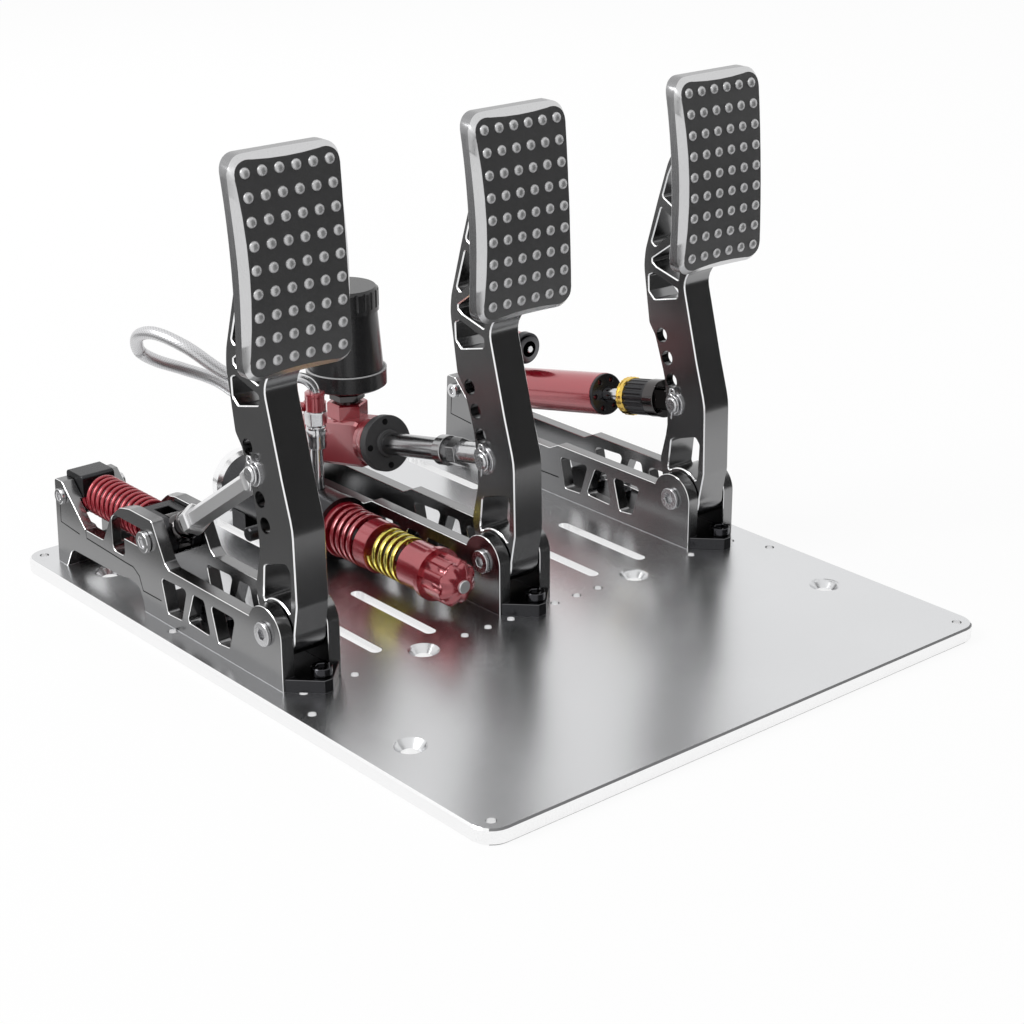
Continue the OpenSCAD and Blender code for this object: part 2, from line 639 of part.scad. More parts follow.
// Brake: everything stands along the line from the rear bolt to the arm's pin
master_front = 104;  // distances along that line, from the rear bolt
flange_t = 6;
push_in = 88;
collar_at = [170, 178];
nut_at = [183, 192];
shank_at = 211;
brake_stroke = 9;
module link_flats(z0, z1) translate([-core_half, -40, z0]) cube([2 * core_half, 80, z1 - z0]);
module master_cylinder() color("#7a1320") at(brake) difference() {
    union() {
        along(rear_bolt, low_hole) {
            intersection() {
                bar_z(26, master_front, 0, 0, master_r);
                link_flats(26, master_front);
            }
            intersection() {
                bar_z(10, 27, 0, 0, outlet_body_r);
                link_flats(10, 27);
            }
            flat_eye(rear_eye_r, eye_half, rear_bolt_r + fit, 8, 12);
        }
        bar_z(link_z(reservoir_y), boss_top, 0, reservoir_y, boss_top_r);
        bar_z(link_z(outlet_y), outlet_foot, 0, outlet_y, outlet_r);
    }
    along(rear_bolt, low_hole) bar_z(push_in - brake_stroke - 3, master_front + over, 0, 0, push_r + fit);
    bar_x(-gap_half, gap_half, rear_bolt, rear_bolt_r + fit);
    bar_z(boss_top, boss_top + spot_h, 0, reservoir_y, neck_af / sqrt(3) + 0.4);
    bar_z(outlet_foot, outlet_foot + spot_h, 0, outlet_y, outlet_r + 0.4);
    bar_z(boss_top - 8, boss_top + over, 0, reservoir_y, spigot_r + seat_play);
    bar_z(outlet_foot - 8, outlet_foot + over, 0, outlet_y, outlet_spigot_r + seat_play);
}
rear_eye_r = 9.5;
outlet_body_r = 12.5;
reservoir_y = 144;
boss_top = 79;
boss_top_r = 11.5;
spigot_r = 7;
neck_af = 24;
spot_h = 12; // height of the spot faces' cuts
outlet_y = 182.5;
outlet_foot = 72.5;
outlet_r = 8;
outlet_spigot_r = 5;

// The flange's lug hangs between the side plates, and the tie bolt goes through it
lug = [[96, 39], [112, 39], [112, 58], [96, 62]];
flange_screw_at = 13.3;
module master_flange() color("#1f1f21") at(brake) difference() {
    union() {
        along(rear_bolt, low_hole) bar_z(master_front, master_front + flange_t, 0, 0, flange_r);
        slab(-core_half, core_half) polygon(rounded([for (p = lug) [p[0], p[1], 2]]));
    }
    along(rear_bolt, low_hole) {
        bar_z(master_front - 30, master_front, 0, 0, master_r + 0.3);
        bar_z(master_front - over, master_front + flange_t + over, 0, 0, push_r + fit);
        for (a = [45:90:315]) rotate([0, 0, a]) translate([flange_screw_at, 0, 0])
            bar_z(master_front - over, master_front + flange_t + over, 0, 0, 2.1);
    }
    bar_x(-gap_half, gap_half, tie_bolt, crosshead_pin_r + seat_play);
    for (s = [-1, 1]) slab(s < 0 ? -cheek_out - over : core_half, s < 0 ? -core_half : cheek_out + over)
        translate([70, 0]) square([80, hump_h + 0.3]);
}

module brake_pushrod() color("#d7d9dc") at(brake) along(rear_bolt, low_hole) {
    bar_z(push_in, collar_at[0] + 0.01, 0, 0, push_r);
    bar_z(collar_at[0], collar_at[1], 0, 0, push_r + 2.5);
    bar_z(collar_at[1] - 0.01, nut_at[0] + 0.01, 0, 0, push_r - 1);
    hex_bar(nut_at[0], nut_at[1], 17);
    bar_z(nut_at[1] - 0.01, nut_at[1] + 8, 0, 0, rod_thread_r);
}
module brake_clevis() color("#26262a") at(brake) along(low_hole, rear_bolt) difference() {
    union() {
        flat_eye(link_eye_r + 1, blade_half, pin_r + 0.45, 7, link_l - nut_at[1] - 8);
        bar_z(link_l - shank_at, link_l - nut_at[1], 0, 0, 7);
    }
    bar_z(link_l - nut_at[1] - 9, link_l - nut_at[1] + over, 0, 0, rod_thread_r + seat_play);
}

// Reservoir: a revolved can on a neck, all about one upright axis
neck_hex = [boss_top, 90];
neck_top = 102;
can_foot = 102;
base_ring_r = reservoir_r + 1.5;
can_body = can_foot + 9;
can_top = can_body + reservoir_h;
cap_h = 16;
taper = 3.5; // how much the can's radius shrinks from foot to top
module on_reservoir() at(brake) translate([0, reservoir_y, 0]) children();
module reservoir_neck() color("#7a1320") on_reservoir() difference() {
    union() {
        bar_z(boss_top - 7, boss_top + 0.01, 0, 0, spigot_r);
        hex_bar(neck_hex[0], neck_hex[1], neck_af);
        bar_z(neck_hex[1] - 0.01, neck_top, 0, 0, 9.5);
        bar_z(neck_hex[1] + 2, neck_hex[1] + 6, 0, 0, 12.5);
        bar_z(neck_top - 4, neck_top, 0, 0, 12.5);
    }
    bar_z(boss_top - 8, neck_top + over, 0, 0, 3.5);
}
module reservoir() color("#161618") on_reservoir() rotate_extrude() polygon([
    [3.5, can_foot], [base_ring_r - 6, can_foot], [base_ring_r, can_foot + 5], [base_ring_r, can_body],
    [reservoir_r, can_body], [reservoir_r - taper, can_top],
    [reservoir_r - taper - reservoir_wall, can_top], [reservoir_r - reservoir_wall, can_body],
    [reservoir_r - reservoir_wall - 4, can_foot + 4], [3.5, can_foot + 4]
]);
module reservoir_cap() color("#1b1b1d") on_reservoir() {
    r = reservoir_r - taper + 1.2;
    inner = reservoir_r - taper - reservoir_wall - 0.3;
    difference() {
        union() {
            bar_z(can_top, can_top + cap_h - 2, 0, 0, r);
            translate([0, 0, can_top + cap_h - 2.01]) cylinder(r1 = r, r2 = r - 2, h = 2.01);
            bar_z(can_top - 4, can_top + 0.01, 0, 0, inner);
        }
        for (a = [0:15:345]) rotate([0, 0, a]) bar_z(can_top + 3, can_top + cap_h + over, r + 0.9, 0, 1.7);
    }
}

// Outlet: a banjo on the cylinder, whose stub carries the hose
outlet_ring_h = 7;
outlet_top = 87;
outlet_heading = 143; // which way the stub points, from the driver's right towards the back
stub_r = 4.5;
stub_l = 17.4;
hose_gap = 0.1;
outlet_mid = outlet_foot + outlet_ring_h / 2;
module outlet_fitting() color("#8d1a28") at(brake) translate([0, outlet_y, 0]) {
    bar_z(outlet_foot - 7, outlet_foot + 0.01, 0, 0, outlet_spigot_r);
    bar_z(outlet_foot, outlet_foot + outlet_ring_h, 0, 0, outlet_r);
    hex_bar(outlet_foot + outlet_ring_h - 0.01, outlet_top, 12);
    translate([0, 0, outlet_mid]) rotate([0, 0, outlet_heading]) bar_x(0, stub_l, [0, 0], stub_r - 1.2);
    translate([0, 0, outlet_mid]) rotate([0, 0, outlet_heading]) bar_x(stub_l - 7, stub_l, [0, 0], hose_r + 1);
}

// Where the slave cylinder lies, and the elbow on its inlet
slave_x = -45;
slave_h = 25;
inlet_y = 117.5;
inlet_heading = 154; // which way the elbow points
elbow_foot = 112;
elbow_turn_r = 12;
elbow_r = 3.6;
elbow_h = elbow_foot + elbow_turn_r;
elbow_l = 20; // from the adapter's axis to the elbow's end

// Hose: out of the stub, round one wide loop behind the clutch, and down to the slave cylinder's elbow
function heading(a) = [cos(a), sin(a), 0];
hose_straight = 11; // straight run at each end
hose_start = [0, outlet_y, outlet_mid] + (stub_l + hose_gap) * heading(outlet_heading);
hose_end = [slave_x, inlet_y, elbow_h] + (elbow_l + hose_gap) * heading(inlet_heading);
hose_loop = [
    [-35, 211, 80], [-51, 226, 95], [-72, 233, 106], [-94, 232, 117], [-112, 223, 130],
    [-122, 206, 146], [-122, 184, 153], [-113, 161, 147], [-94, 143, 129]
];
hose_route = concat(
    [hose_start, hose_start + hose_straight * heading(outlet_heading)],
    hose_loop,
    [hose_end + hose_straight * heading(inlet_heading), hose_end]
);
hose_turns_smooth = 4; // rings between two points of the route
function spline(p, i, f) =
    let (
        n = len(p),
        a = i > 0 ? p[i - 1] : 2 * p[0] - p[1],
        b = p[i],
        c = p[i + 1],
        d = i < n - 2 ? p[i + 2] : 2 * p[n - 1] - p[n - 2]
    )
    0.5 * ((2 * b) + (c - a) * f + (2 * a - 5 * b + 4 * c - d) * f * f + (3 * b - a - 3 * c + d) * f * f * f);
hose_path = [
    for (i = [0:len(hose_route) - 2]) for (k = [0:hose_turns_smooth - 1])
        spline(hose_route, i, k / hose_turns_smooth),
    hose_route[len(hose_route) - 1]
];
module brake_hose() color("#8f9296") at(brake) swept(hose_path, hose_r, 10);

// Slave cylinder and its spring stack, along Y
stack = [-28, -6, 14, 46, 58, 86, 91, 100]; // knob, front cup, gold coil, middle collar, red coil, seat, collar
slave_end = 208;
slave_front_wall = 12;
slave_screw_tip = -36;
slave_stroke = 6;
piston_y = [124, 138];
module on_slave(y) at(brake) translate([slave_x, y, slave_h]) rotate([-90, 0, 0]) children();
module slave_cylinder() color("#1b1b1d") difference() {
    on_slave(0) {
        bar_z(stack[6], stack[7], 0, 0, slave_r + 0.5);
        bar_z(stack[7] - 0.01, slave_end, 0, 0, slave_r);
    }
    on_slave(0) {
        bar_z(stack[7] + slave_front_wall, slave_end + over, 0, 0, slave_bore_r);
        bar_z(stack[6] - over, slave_end, 0, 0, slave_rod_r + fit);
    }
    at(brake) {
        bar_z(inlet_foot, slave_h + slave_r + over, slave_x, inlet_y, inlet_tube_r + 0.5);
        bar_z(slave_h + slave_bore_r - over, inlet_foot + over, slave_x, inlet_y, inlet_spigot_r + seat_play);
    }
}

// Inlet: an adapter stands on the cylinder, with a sleeve, a nut and a socket, and an elbow on top
inlet_foot = 44.5;
inlet_spigot_r = 3.5;
inlet_tube_r = 4.3;
sleeve_h = [75, 90];
sleeve_r = 6.6;
nut_h = [91, 100];
nut_af = 13;
socket_r = 5.6;
module slave_inlet() color("#9a9da1") at(brake) translate([slave_x, inlet_y, 0]) {
    bar_z(inlet_foot - 2.5, inlet_foot + 0.01, 0, 0, inlet_spigot_r);
    bar_z(inlet_foot, elbow_foot, 0, 0, inlet_tube_r);
    bar_z(sleeve_h[0], sleeve_h[1], 0, 0, sleeve_r);
    hex_bar(nut_h[0], nut_h[1], nut_af);
    bar_z(nut_h[1] - 0.01, elbow_foot, 0, 0, socket_r);
    rotate([0, 0, inlet_heading]) translate([elbow_turn_r, 0, elbow_foot - 0.01]) rotate([90, 0, 0])
        rotate([0, 0, 90]) rotate_extrude(angle = 90) translate([elbow_turn_r, 0]) circle(elbow_r);
    translate([0, 0, elbow_h]) rotate([0, 0, inlet_heading]) bar_x(elbow_turn_r - 0.01, elbow_l, [0, 0], hose_r + 1);
}
slave_flange_r = slave_r + 2.5;
module slave_flange() color("#8a8d91") on_slave(0) {
    bar_z(slave_end, slave_end + 4, 0, 0, slave_flange_r);
    bar_z(slave_end - 5, slave_end + 0.01, 0, 0, slave_bore_r - seat_play);
}
slave_foot_w = 34;
slave_foot_h = 12;
slave_feet_y = [124, 190];
slave_foot_l = 16;
slave_foot_screw_r = 2.5;
slave_screw_places = [for (y = slave_feet_y) for (s = [-1, 1]) [s * (slave_foot_w / 2 - 3.5), y]];
module slave_feet() color("#1b1b1d") for (y = slave_feet_y) difference() {
    at(brake) translate([slave_x - slave_foot_w / 2, y - slave_foot_l / 2, 0])
        cube([slave_foot_w, slave_foot_l, slave_foot_h]);
    on_slave(0) bar_z(stack[7], slave_end, 0, 0, slave_r + seat_play);
    at(brake) for (s = [-1, 1]) bar_z(-over, slave_foot_h + over, slave_x + s * (slave_foot_w / 2 - 3.5), y,
        slave_foot_screw_r + seat_play);
}
module slave_rod() color("#d7d9dc") on_slave(0) {
    bar_z(slave_screw_tip, piston_y[0] + 1, 0, 0, slave_rod_r);
    bar_z(piston_y[0], piston_y[1], 0, 0, slave_bore_r - fit);
}
module slave_front_cup() color("#8d1a28") on_slave(0) difference() {
    bar_z(stack[1], stack[2], 0, 0, front_coil_r);
    bar_z(stack[1] - over, stack[2] + over, 0, 0, slave_rod_r + seat_play);
}
knob_lobes = 8;
module slave_knob() color("#8d1a28") on_slave(0) difference() {
    union() {
        bar_z(stack[0], stack[1] - 4, 0, 0, slave_knob_r);
        bar_z(stack[1] - 4.01, stack[1] - turn_gap, 0, 0, slave_knob_r + 2.5);
    }
    for (i = [0:knob_lobes - 1]) rotate([0, 0, 360 * i / knob_lobes])
        bar_z(stack[0] - over, stack[1] - 4, slave_knob_r + 1.5, 0, 3.6);
    bar_z(stack[0] - over, stack[1] + over, 0, 0, slave_rod_r + fit);
    bar_z(stack[0] - over, stack[0] + 3, 0, 0, slave_knob_r / 2);
}
module slave_middle_collar() color("#8d1a28") on_slave(0) difference() {
    bar_z(stack[3], stack[4], 0, 0, rear_coil_r - 0.5);
    bar_z(stack[3] - over, stack[4] + over, 0, 0, slave_rod_r + fit);
}
module slave_gold_spring() color("#c49a3a") on_slave(stack[2])
    coil("gold spring", stack[3] - stack[2], front_coil_r, front_wire_r, 5);
module slave_red_spring() color("#8d1a28") on_slave(stack[4])
    coil("red spring", stack[5] - stack[4], rear_coil_r, rear_wire_r, 4.5);
module slave_spring_seat() color("#8d1a28") on_slave(0) difference() {
    bar_z(stack[5], stack[6], 0, 0, rear_coil_r + 1);
    bar_z(stack[5] - over, stack[6] + over, 0, 0, slave_rod_r + 0.3);
}

// Throttle damper, along the same line as the brake's cylinder
damper_end = 139;
cap_t = 8;
damper_stroke = 22;
rod_in = 100;
knob_at = [173.5, 196];
ring_at = [169.5, 173.5];
boot_at = [196, 206];
canister_y = [154, 190];
canister_h = 92;
canister_r = 10;
bracket_y = [164, 180];
bracket_half = 7;
groove_y = [130, 142];
groove_half = 2.5;
groove_depth = 3;
module throttle_damper() color("#8d1a28") at(throttle) difference() {
    union() {
        along(rear_bolt, low_hole) intersection() {
            bar_z(16, damper_end, 0, 0, damper_r);
            link_flats(16, damper_end);
        }
        translate([-bracket_half, bracket_y[0], link_z(bracket_y[0])])
            cube([2 * bracket_half, bracket_y[1] - bracket_y[0], canister_h - link_z(bracket_y[0])]);
        bar_y(canister_y[0], canister_y[1], 0, canister_h, canister_r);
    }
    along(rear_bolt, low_hole) bar_z(rod_in - damper_stroke - 5, damper_end + over, 0, 0, damper_r - 4);
    translate([-groove_half, groove_y[0], link_z((groove_y[0] + groove_y[1]) / 2) + damper_r - groove_depth])
        cube([2 * groove_half, groove_y[1] - groove_y[0], 10]);
}
module damper_cap() color("#1b1b1d") at(throttle) along(rear_bolt, low_hole) difference() {
    union() {
        bar_z(damper_end, damper_end + cap_t, 0, 0, damper_r);
        bar_z(damper_end - 6, damper_end + 0.01, 0, 0, damper_r - 4 - seat_play);
    }
    bar_z(damper_end - 7, damper_end + cap_t + over, 0, 0, damper_rod_r + fit);
    for (a = [0:60:300]) rotate([0, 0, a]) bar_z(damper_end + cap_t - 3, damper_end + cap_t + over, 10.6, 0, 1.6);
}
module damper_rear_eye() color("#1b1b1d") at(throttle) along(rear_bolt, low_hole)
    flat_eye(rear_eye_r, eye_half, rear_bolt_r + fit, 9, 16);
module damper_rod() color("#d7d9dc") at(throttle) along(rear_bolt, low_hole) {
    bar_z(rod_in, boot_at[0] + 8, 0, 0, damper_rod_r);
    bar_z(rod_in - 4, rod_in + 0.01, 0, 0, damper_r - 4 - fit);
}
module damper_eye() color("#26262a") at(throttle) along(low_hole, rear_bolt) difference() {
    union() {
        flat_eye(link_eye_r, blade_half, pin_r + open_play, 8, link_l - boot_at[1] + 0.01);
        bar_z(link_l - boot_at[1], link_l - boot_at[0], 0, 0, damper_knob_r + 0.5);
    }
    bar_z(link_l - boot_at[0] - 8.2, link_l - boot_at[0] + over, 0, 0, damper_rod_r + seat_play);
}
flutes = 20;
module damper_knob() color("#1b1b1d") at(throttle) along(rear_bolt, low_hole) difference() {
    bar_z(knob_at[0] + turn_gap, knob_at[1] - turn_gap, 0, 0, damper_knob_r);
    for (i = [0:flutes - 1]) rotate([0, 0, 360 * i / flutes])
        bar_z(knob_at[0] + 2, knob_at[1] - 2, damper_knob_r + 0.4, 0, 1.3);
    bar_z(knob_at[0] - over, knob_at[1] + over, 0, 0, damper_rod_r + fit);
}
module damper_ring() color("#c49a3a") at(throttle) along(rear_bolt, low_hole) difference() {
    bar_z(ring_at[0], ring_at[1], 0, 0, damper_knob_r + 0.2);
    bar_z(ring_at[0] - over, ring_at[1] + over, 0, 0, damper_rod_r + seat_play);
}
module damper_adjuster() color("#1b1b1d") at(throttle) difference() {
    union() {
        bar_y(canister_y[0] - 6, canister_y[0] - turn_gap, 0, canister_h, adjuster_r);
        bar_y(canister_y[0] - 7.5, canister_y[0] - 5.99, 0, canister_h, 3);
    }
    for (r = [6, 8.6]) translate([0, canister_y[0] - 6.5, canister_h]) rotate([-90, 0, 0]) difference() {
        cylinder(r = r + 0.6, h = 1.2);
        translate([0, 0, -over]) cylinder(r = r, h = 1.2 + 2 * over);
    }
}

base_plate();
clutch_cheek(-1);  // clutch_left_plate
clutch_cheek(1);  // clutch_right_plate
cheek(brake, -1);  // brake_left_plate
cheek(brake, 1);  // brake_right_plate
cheek(throttle, -1);  // throttle_left_plate
cheek(throttle, 1);  // throttle_right_plate
pedal_feet();
foot_screws();
pivot_bolts();
pivot_bearings();
cross_bolts();
rear_spacers();
arm(clutch);  // clutch_arm
pad(clutch);  // clutch_pad
tread(clutch);  // clutch_tread
link_pin(clutch, clutch_hole, washer_r);  // clutch_pin
clutch_rod();
clutch_rod_end();
clutch_crosshead();
crosshead_pin();
clutch_spring_guide();
clutch_spring();
clutch_spring_block();
arm(brake);  // brake_arm
pad(brake);  // brake_pad
tread(brake);  // brake_tread
link_pin(brake, low_hole, brake_washer_r);  // brake_pin
brake_pushrod();
brake_clevis();
master_cylinder();
master_flange();
reservoir_neck();
reservoir();
reservoir_cap();
outlet_fitting();
brake_hose();
slave_cylinder();
slave_flange();
slave_feet();
slave_rod();
slave_front_cup();
slave_knob();
slave_middle_collar();
slave_gold_spring();
slave_red_spring();
slave_spring_seat();
slave_inlet();
arm(throttle);  // throttle_arm
pad(throttle);  // throttle_pad
tread(throttle);  // throttle_tread
link_pin(throttle, low_hole, washer_r);  // throttle_pin
throttle_damper();
damper_cap();
damper_rear_eye();
damper_rod();
damper_eye();
damper_knob();
damper_ring();
damper_adjuster();
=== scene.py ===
"""Dresses the pedal set's CAD frame with finishes, studs, springs, clips, hose and a small studio."""

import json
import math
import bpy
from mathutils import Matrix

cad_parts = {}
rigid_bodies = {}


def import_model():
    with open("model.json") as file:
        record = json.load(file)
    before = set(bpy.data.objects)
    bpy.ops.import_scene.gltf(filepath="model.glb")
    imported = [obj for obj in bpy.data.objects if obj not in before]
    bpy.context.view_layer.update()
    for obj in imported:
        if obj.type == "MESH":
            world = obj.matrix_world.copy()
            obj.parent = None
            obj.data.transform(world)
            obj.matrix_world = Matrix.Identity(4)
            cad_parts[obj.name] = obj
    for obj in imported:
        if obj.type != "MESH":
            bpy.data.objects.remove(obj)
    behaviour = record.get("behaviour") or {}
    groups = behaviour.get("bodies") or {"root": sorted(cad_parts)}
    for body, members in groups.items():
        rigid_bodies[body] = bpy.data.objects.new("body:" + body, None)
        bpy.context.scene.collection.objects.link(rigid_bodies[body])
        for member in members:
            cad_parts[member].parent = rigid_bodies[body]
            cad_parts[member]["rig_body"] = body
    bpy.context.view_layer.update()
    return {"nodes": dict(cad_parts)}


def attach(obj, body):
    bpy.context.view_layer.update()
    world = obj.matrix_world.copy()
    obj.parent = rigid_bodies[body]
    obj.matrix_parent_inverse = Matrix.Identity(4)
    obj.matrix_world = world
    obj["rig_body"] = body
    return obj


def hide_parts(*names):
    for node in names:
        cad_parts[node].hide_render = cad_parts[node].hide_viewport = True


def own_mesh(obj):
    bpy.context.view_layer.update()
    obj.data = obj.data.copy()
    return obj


bl_info = {
    "name": "Sim Racing Pedal Set",
    "version": (1, 0, 0),
    "blender": (4, 5, 0),
    "location": "3D View > Sidebar > Pedals",
    "description": "Builds the looks of a three-pedal driving simulator set round its CAD frame",
    "category": "Object",
}

import bmesh
import bpy
import numpy as np
from mathutils import Matrix, Vector

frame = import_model()
NODES = frame["nodes"]
PEDALS = ("clutch", "brake", "throttle")
SIDES = ("left", "right")
MM = 0.001

# Sizes and places of the CAD frame, in millimetres
STATION_X = {"clutch": -165, "brake": 0, "throttle": 165}
ARM_HALF = 11.5
CHEEK_IN, CHEEK_OUT = 12.25, 21
PAD_CENTRE = (338, 241)
PAD_BACK_R = 371
TREAD_R = 383
PAD_HALF = 36.5
PAD_LOW, PAD_HIGH = -39, 86
REAR_BOLT = (207, 60)
LOW_PIN = (-16, 105)
CLUTCH_PIN = (-7.2, 134.9)
TIE_BOLT = (104, 60)
SLAVE_X, SLAVE_Z = -45, 35


# Settings that a user would change
class PedalStageSettings(bpy.types.PropertyGroup):
    """Light, floor and camera."""

    key_power: bpy.props.FloatProperty(
        name="Key light", description="Power of the large soft lamp on the left", default=26, min=0,
        unit="POWER")
    rim_power: bpy.props.FloatProperty(
        name="Rim light", description="Power of the soft lamp behind the pedals", default=12, min=0,
        unit="POWER")
    world_level: bpy.props.FloatProperty(
        name="World level", description="Strength of the even light from all round", default=0.62, min=0)
    floor_colour: bpy.props.FloatVectorProperty(
        name="Floor", description="Colour of the floor", default=(0.9, 0.9, 0.9), subtype="COLOR", min=0, max=1)
    card_level: bpy.props.FloatProperty(
        name="Dark cards", description="Brightness of the cards that fronts of arms mirror", default=0.075,
        min=0)
    side_level: bpy.props.FloatProperty(
        name="Side card", description="Brightness of the floor that left faces of arms mirror",
        default=0.24, min=0)
    lens: bpy.props.FloatProperty(
        name="Lens", description="Focal length on a 36 mm sensor, in millimetres", default=77.16, min=1)


class PedalFinishSettings(bpy.types.PropertyGroup):
    """Colours and edge widths of the metal pieces."""

    plate_colour: bpy.props.FloatVectorProperty(
        name="Plate", description="Machined aluminium of the base plate", default=(0.7, 0.705, 0.715),
        subtype="COLOR", min=0, max=1)
    dark_colour: bpy.props.FloatVectorProperty(
        name="Dark metal", description="Anodised side plates and arms", default=(0.25, 0.25, 0.252),
        subtype="COLOR", min=0, max=1)
    red_colour: bpy.props.FloatVectorProperty(
        name="Crimson metal", description="Anodised cylinders and collars", default=(0.36, 0.004, 0.018),
        subtype="COLOR", min=0, max=1)
    gold_colour: bpy.props.FloatVectorProperty(
        name="Gold", description="Front spring", default=(0.72, 0.62, 0.14),
        subtype="COLOR", min=0, max=1)
    plate_edge: bpy.props.FloatProperty(
        name="Plate edge", description="Width of the base plate's chamfer", default=0.0011, min=0, unit="LENGTH")
    arm_edge: bpy.props.FloatProperty(
        name="Arm edge", description="Width of the bright chamfer on the arms", default=0.0007,
        min=0, unit="LENGTH")
    small_edge: bpy.props.FloatProperty(
        name="Small edge", description="Width of the chamfer on turned pieces", default=0.0004,
        min=0, unit="LENGTH")


class PedalDetailSettings(bpy.types.PropertyGroup):
    """Studs and hose."""

    stud_radius: bpy.props.FloatProperty(
        name="Stud radius", description="Radius of a stud's foot", default=0.0033, min=0, unit="LENGTH")
    stud_height: bpy.props.FloatProperty(
        name="Stud height", description="How far a stud stands out of the tread", default=0.0019, min=0,
        unit="LENGTH")
    hose_radius: bpy.props.FloatProperty(
        name="Hose radius", description="Outer radius of the braided hose", default=0.0043, min=0, unit="LENGTH")


def stage_settings():
    return bpy.context.scene.pedal_stage


def finish_settings():
    return bpy.context.scene.pedal_finish


def detail_settings():
    return bpy.context.scene.pedal_detail


# Materials
class Socket:
    """A value, colour or vector in a material. Python's operators on it add Math nodes."""

    def __init__(self, shop, socket):
        self.shop, self.socket = shop, socket

    def _math(self, operation, *values):
        return self.shop.add("ShaderNodeMath", {"operation": operation}, *values)

    def __add__(self, other):
        return self._math("ADD", self, other)

    def __sub__(self, other):
        return self._math("SUBTRACT", self, other)

    def __rsub__(self, other):
        return self._math("SUBTRACT", other, self)

    def __mul__(self, other):
        return self._math("MULTIPLY", self, other)

    def __gt__(self, other):
        return self._math("GREATER_THAN", self, other)

    def absolute(self):
        return self._math("ABSOLUTE", self)

    def sine(self):
        return self._math("SINE", self)

    def maximum(self, other):
        return self._math("MAXIMUM", self, other)

    def smooth(self, low, high):
        return self.shop.add("ShaderNodeMapRange", {"interpolation_type": "SMOOTHSTEP"},
                             Value=self, **{"From Min": low, "From Max": high})

    __radd__ = __add__
    __rmul__ = __mul__


class Shop:
    """A node tree under construction."""

    def __init__(self, tree):
        self.tree = tree
        self.tree.nodes.clear()

    def add(self, kind, settings=None, *values, out=0, **named):
        """Adds one node, gives it its settings, then its inputs by place and by name, and returns one output."""
        node = self.tree.nodes.new(kind)
        for key, value in (settings or {}).items():
            setattr(node, key, value)
        for key, value in [*enumerate(values), *named.items()]:
            self.feed(node.inputs[key], value)
        return Socket(self, node.outputs[out])

    def feed(self, target, value):
        if isinstance(value, Socket):
            self.tree.links.new(value.socket, target)
        elif target.type == "RGBA" and len(value) == 3:
            target.default_value = (*value, 1)
        else:
            target.default_value = value

    def place(self, scale=(1, 1, 1)):
        """Object coordinates, scaled per axis."""
        there = self.add("ShaderNodeTexCoord", out=3)
        return self.add("ShaderNodeVectorMath", {"operation": "MULTIPLY"}, there, scale)

    def axes(self, vector):
        """The three numbers of a vector."""
        return [self.add("ShaderNodeSeparateXYZ", None, vector, out=i) for i in range(3)]

    def noise(self, vector, scale, detail=2.0, roughness=0.5):
        return self.add("ShaderNodeTexNoise", None, Vector=vector, Scale=scale, Detail=detail,
                        Roughness=roughness)

    def mix(self, share, a, b):
        """Colour a where share is 0 and colour b where it is 1."""
        node = self.tree.nodes.new("ShaderNodeMix")
        node.data_type = "RGBA"
        for target, value in ((node.inputs[0], share), (node.inputs[6], a), (node.inputs[7], b)):
            self.feed(target, value)
        return Socket(self, node.outputs[2])

    def bump(self, height, strength, distance):
        return self.add("ShaderNodeBump", None, Height=height, Strength=strength, Distance=distance)

    def surface(self, **inputs):
        """A Principled shader, joined to the output."""
        self.output(self.add("ShaderNodeBsdfPrincipled", None, **inputs))

    def output(self, shader):
        out = self.tree.nodes.new("ShaderNodeOutputMaterial")
        self.tree.links.new(shader.socket, out.inputs[0])


def new_material(name):
    """A material with an empty node tree."""
    made = bpy.data.materials.new(name)
    made.use_nodes = True
    return made, Shop(made.node_tree)


def scaled(colour, share):
    return tuple(min(1, c * share) for c in colour)


MADE = {}


def material(name):
    """The finish of that name, made on its first use."""
    if name not in MADE:
        MADE[name], shop = new_material(name)
        FINISHES[name](shop)
    return MADE[name]


def plate_finish(shop):
    """Satin aluminium: an even, very fine grain that blurs what it mirrors."""
    place = shop.place()
    grain = shop.noise(place, 2600, 3)
    cloud = shop.noise(place, 9, 3)
    colour = tuple(finish_settings().plate_colour)
    shop.surface(**{
        "Base Color": shop.mix(cloud, scaled(colour, 0.96), scaled(colour, 1.04)),
        "Metallic": 1.0,
        "Roughness": 0.22 + grain * 0.06 + cloud * 0.03,
        "Normal": shop.bump(grain, 0.1, 0.00003),
    })


def anodised_finish(colour_name, low, high, spread=0.07, grain_scale=3200, cloud_scale=35, **film):
    """Dyed aluminium: metal with a fine etched grain and slightly uneven dye, under a film or none."""

    def make(shop):
        place = shop.place()
        cloud = shop.noise(place, cloud_scale, 3)
        colour = tuple(getattr(finish_settings(), colour_name))
        shop.surface(**{
            "Base Color": shop.mix(cloud, scaled(colour, 1 - spread), scaled(colour, 1 + spread)),
            "Metallic": 1.0,
            "Roughness": low + cloud * (high - low),
            "Normal": shop.bump(shop.noise(place, grain_scale, 2), 0.15, 0.00002),
            **film,
        })

    return make


def crimson_finish(rough, clear):
    """Crimson dye under a clear film: deep red where the room is dark, pink where it mirrors white."""
    film = {"Metallic": 0.5, "IOR": clear, "Coat Weight": 0.6, "Coat Roughness": 0.1, "Coat IOR": 1.8}
    return anodised_finish("red_colour", rough, rough + 0.08, 0.1, 3000, 40, **film)


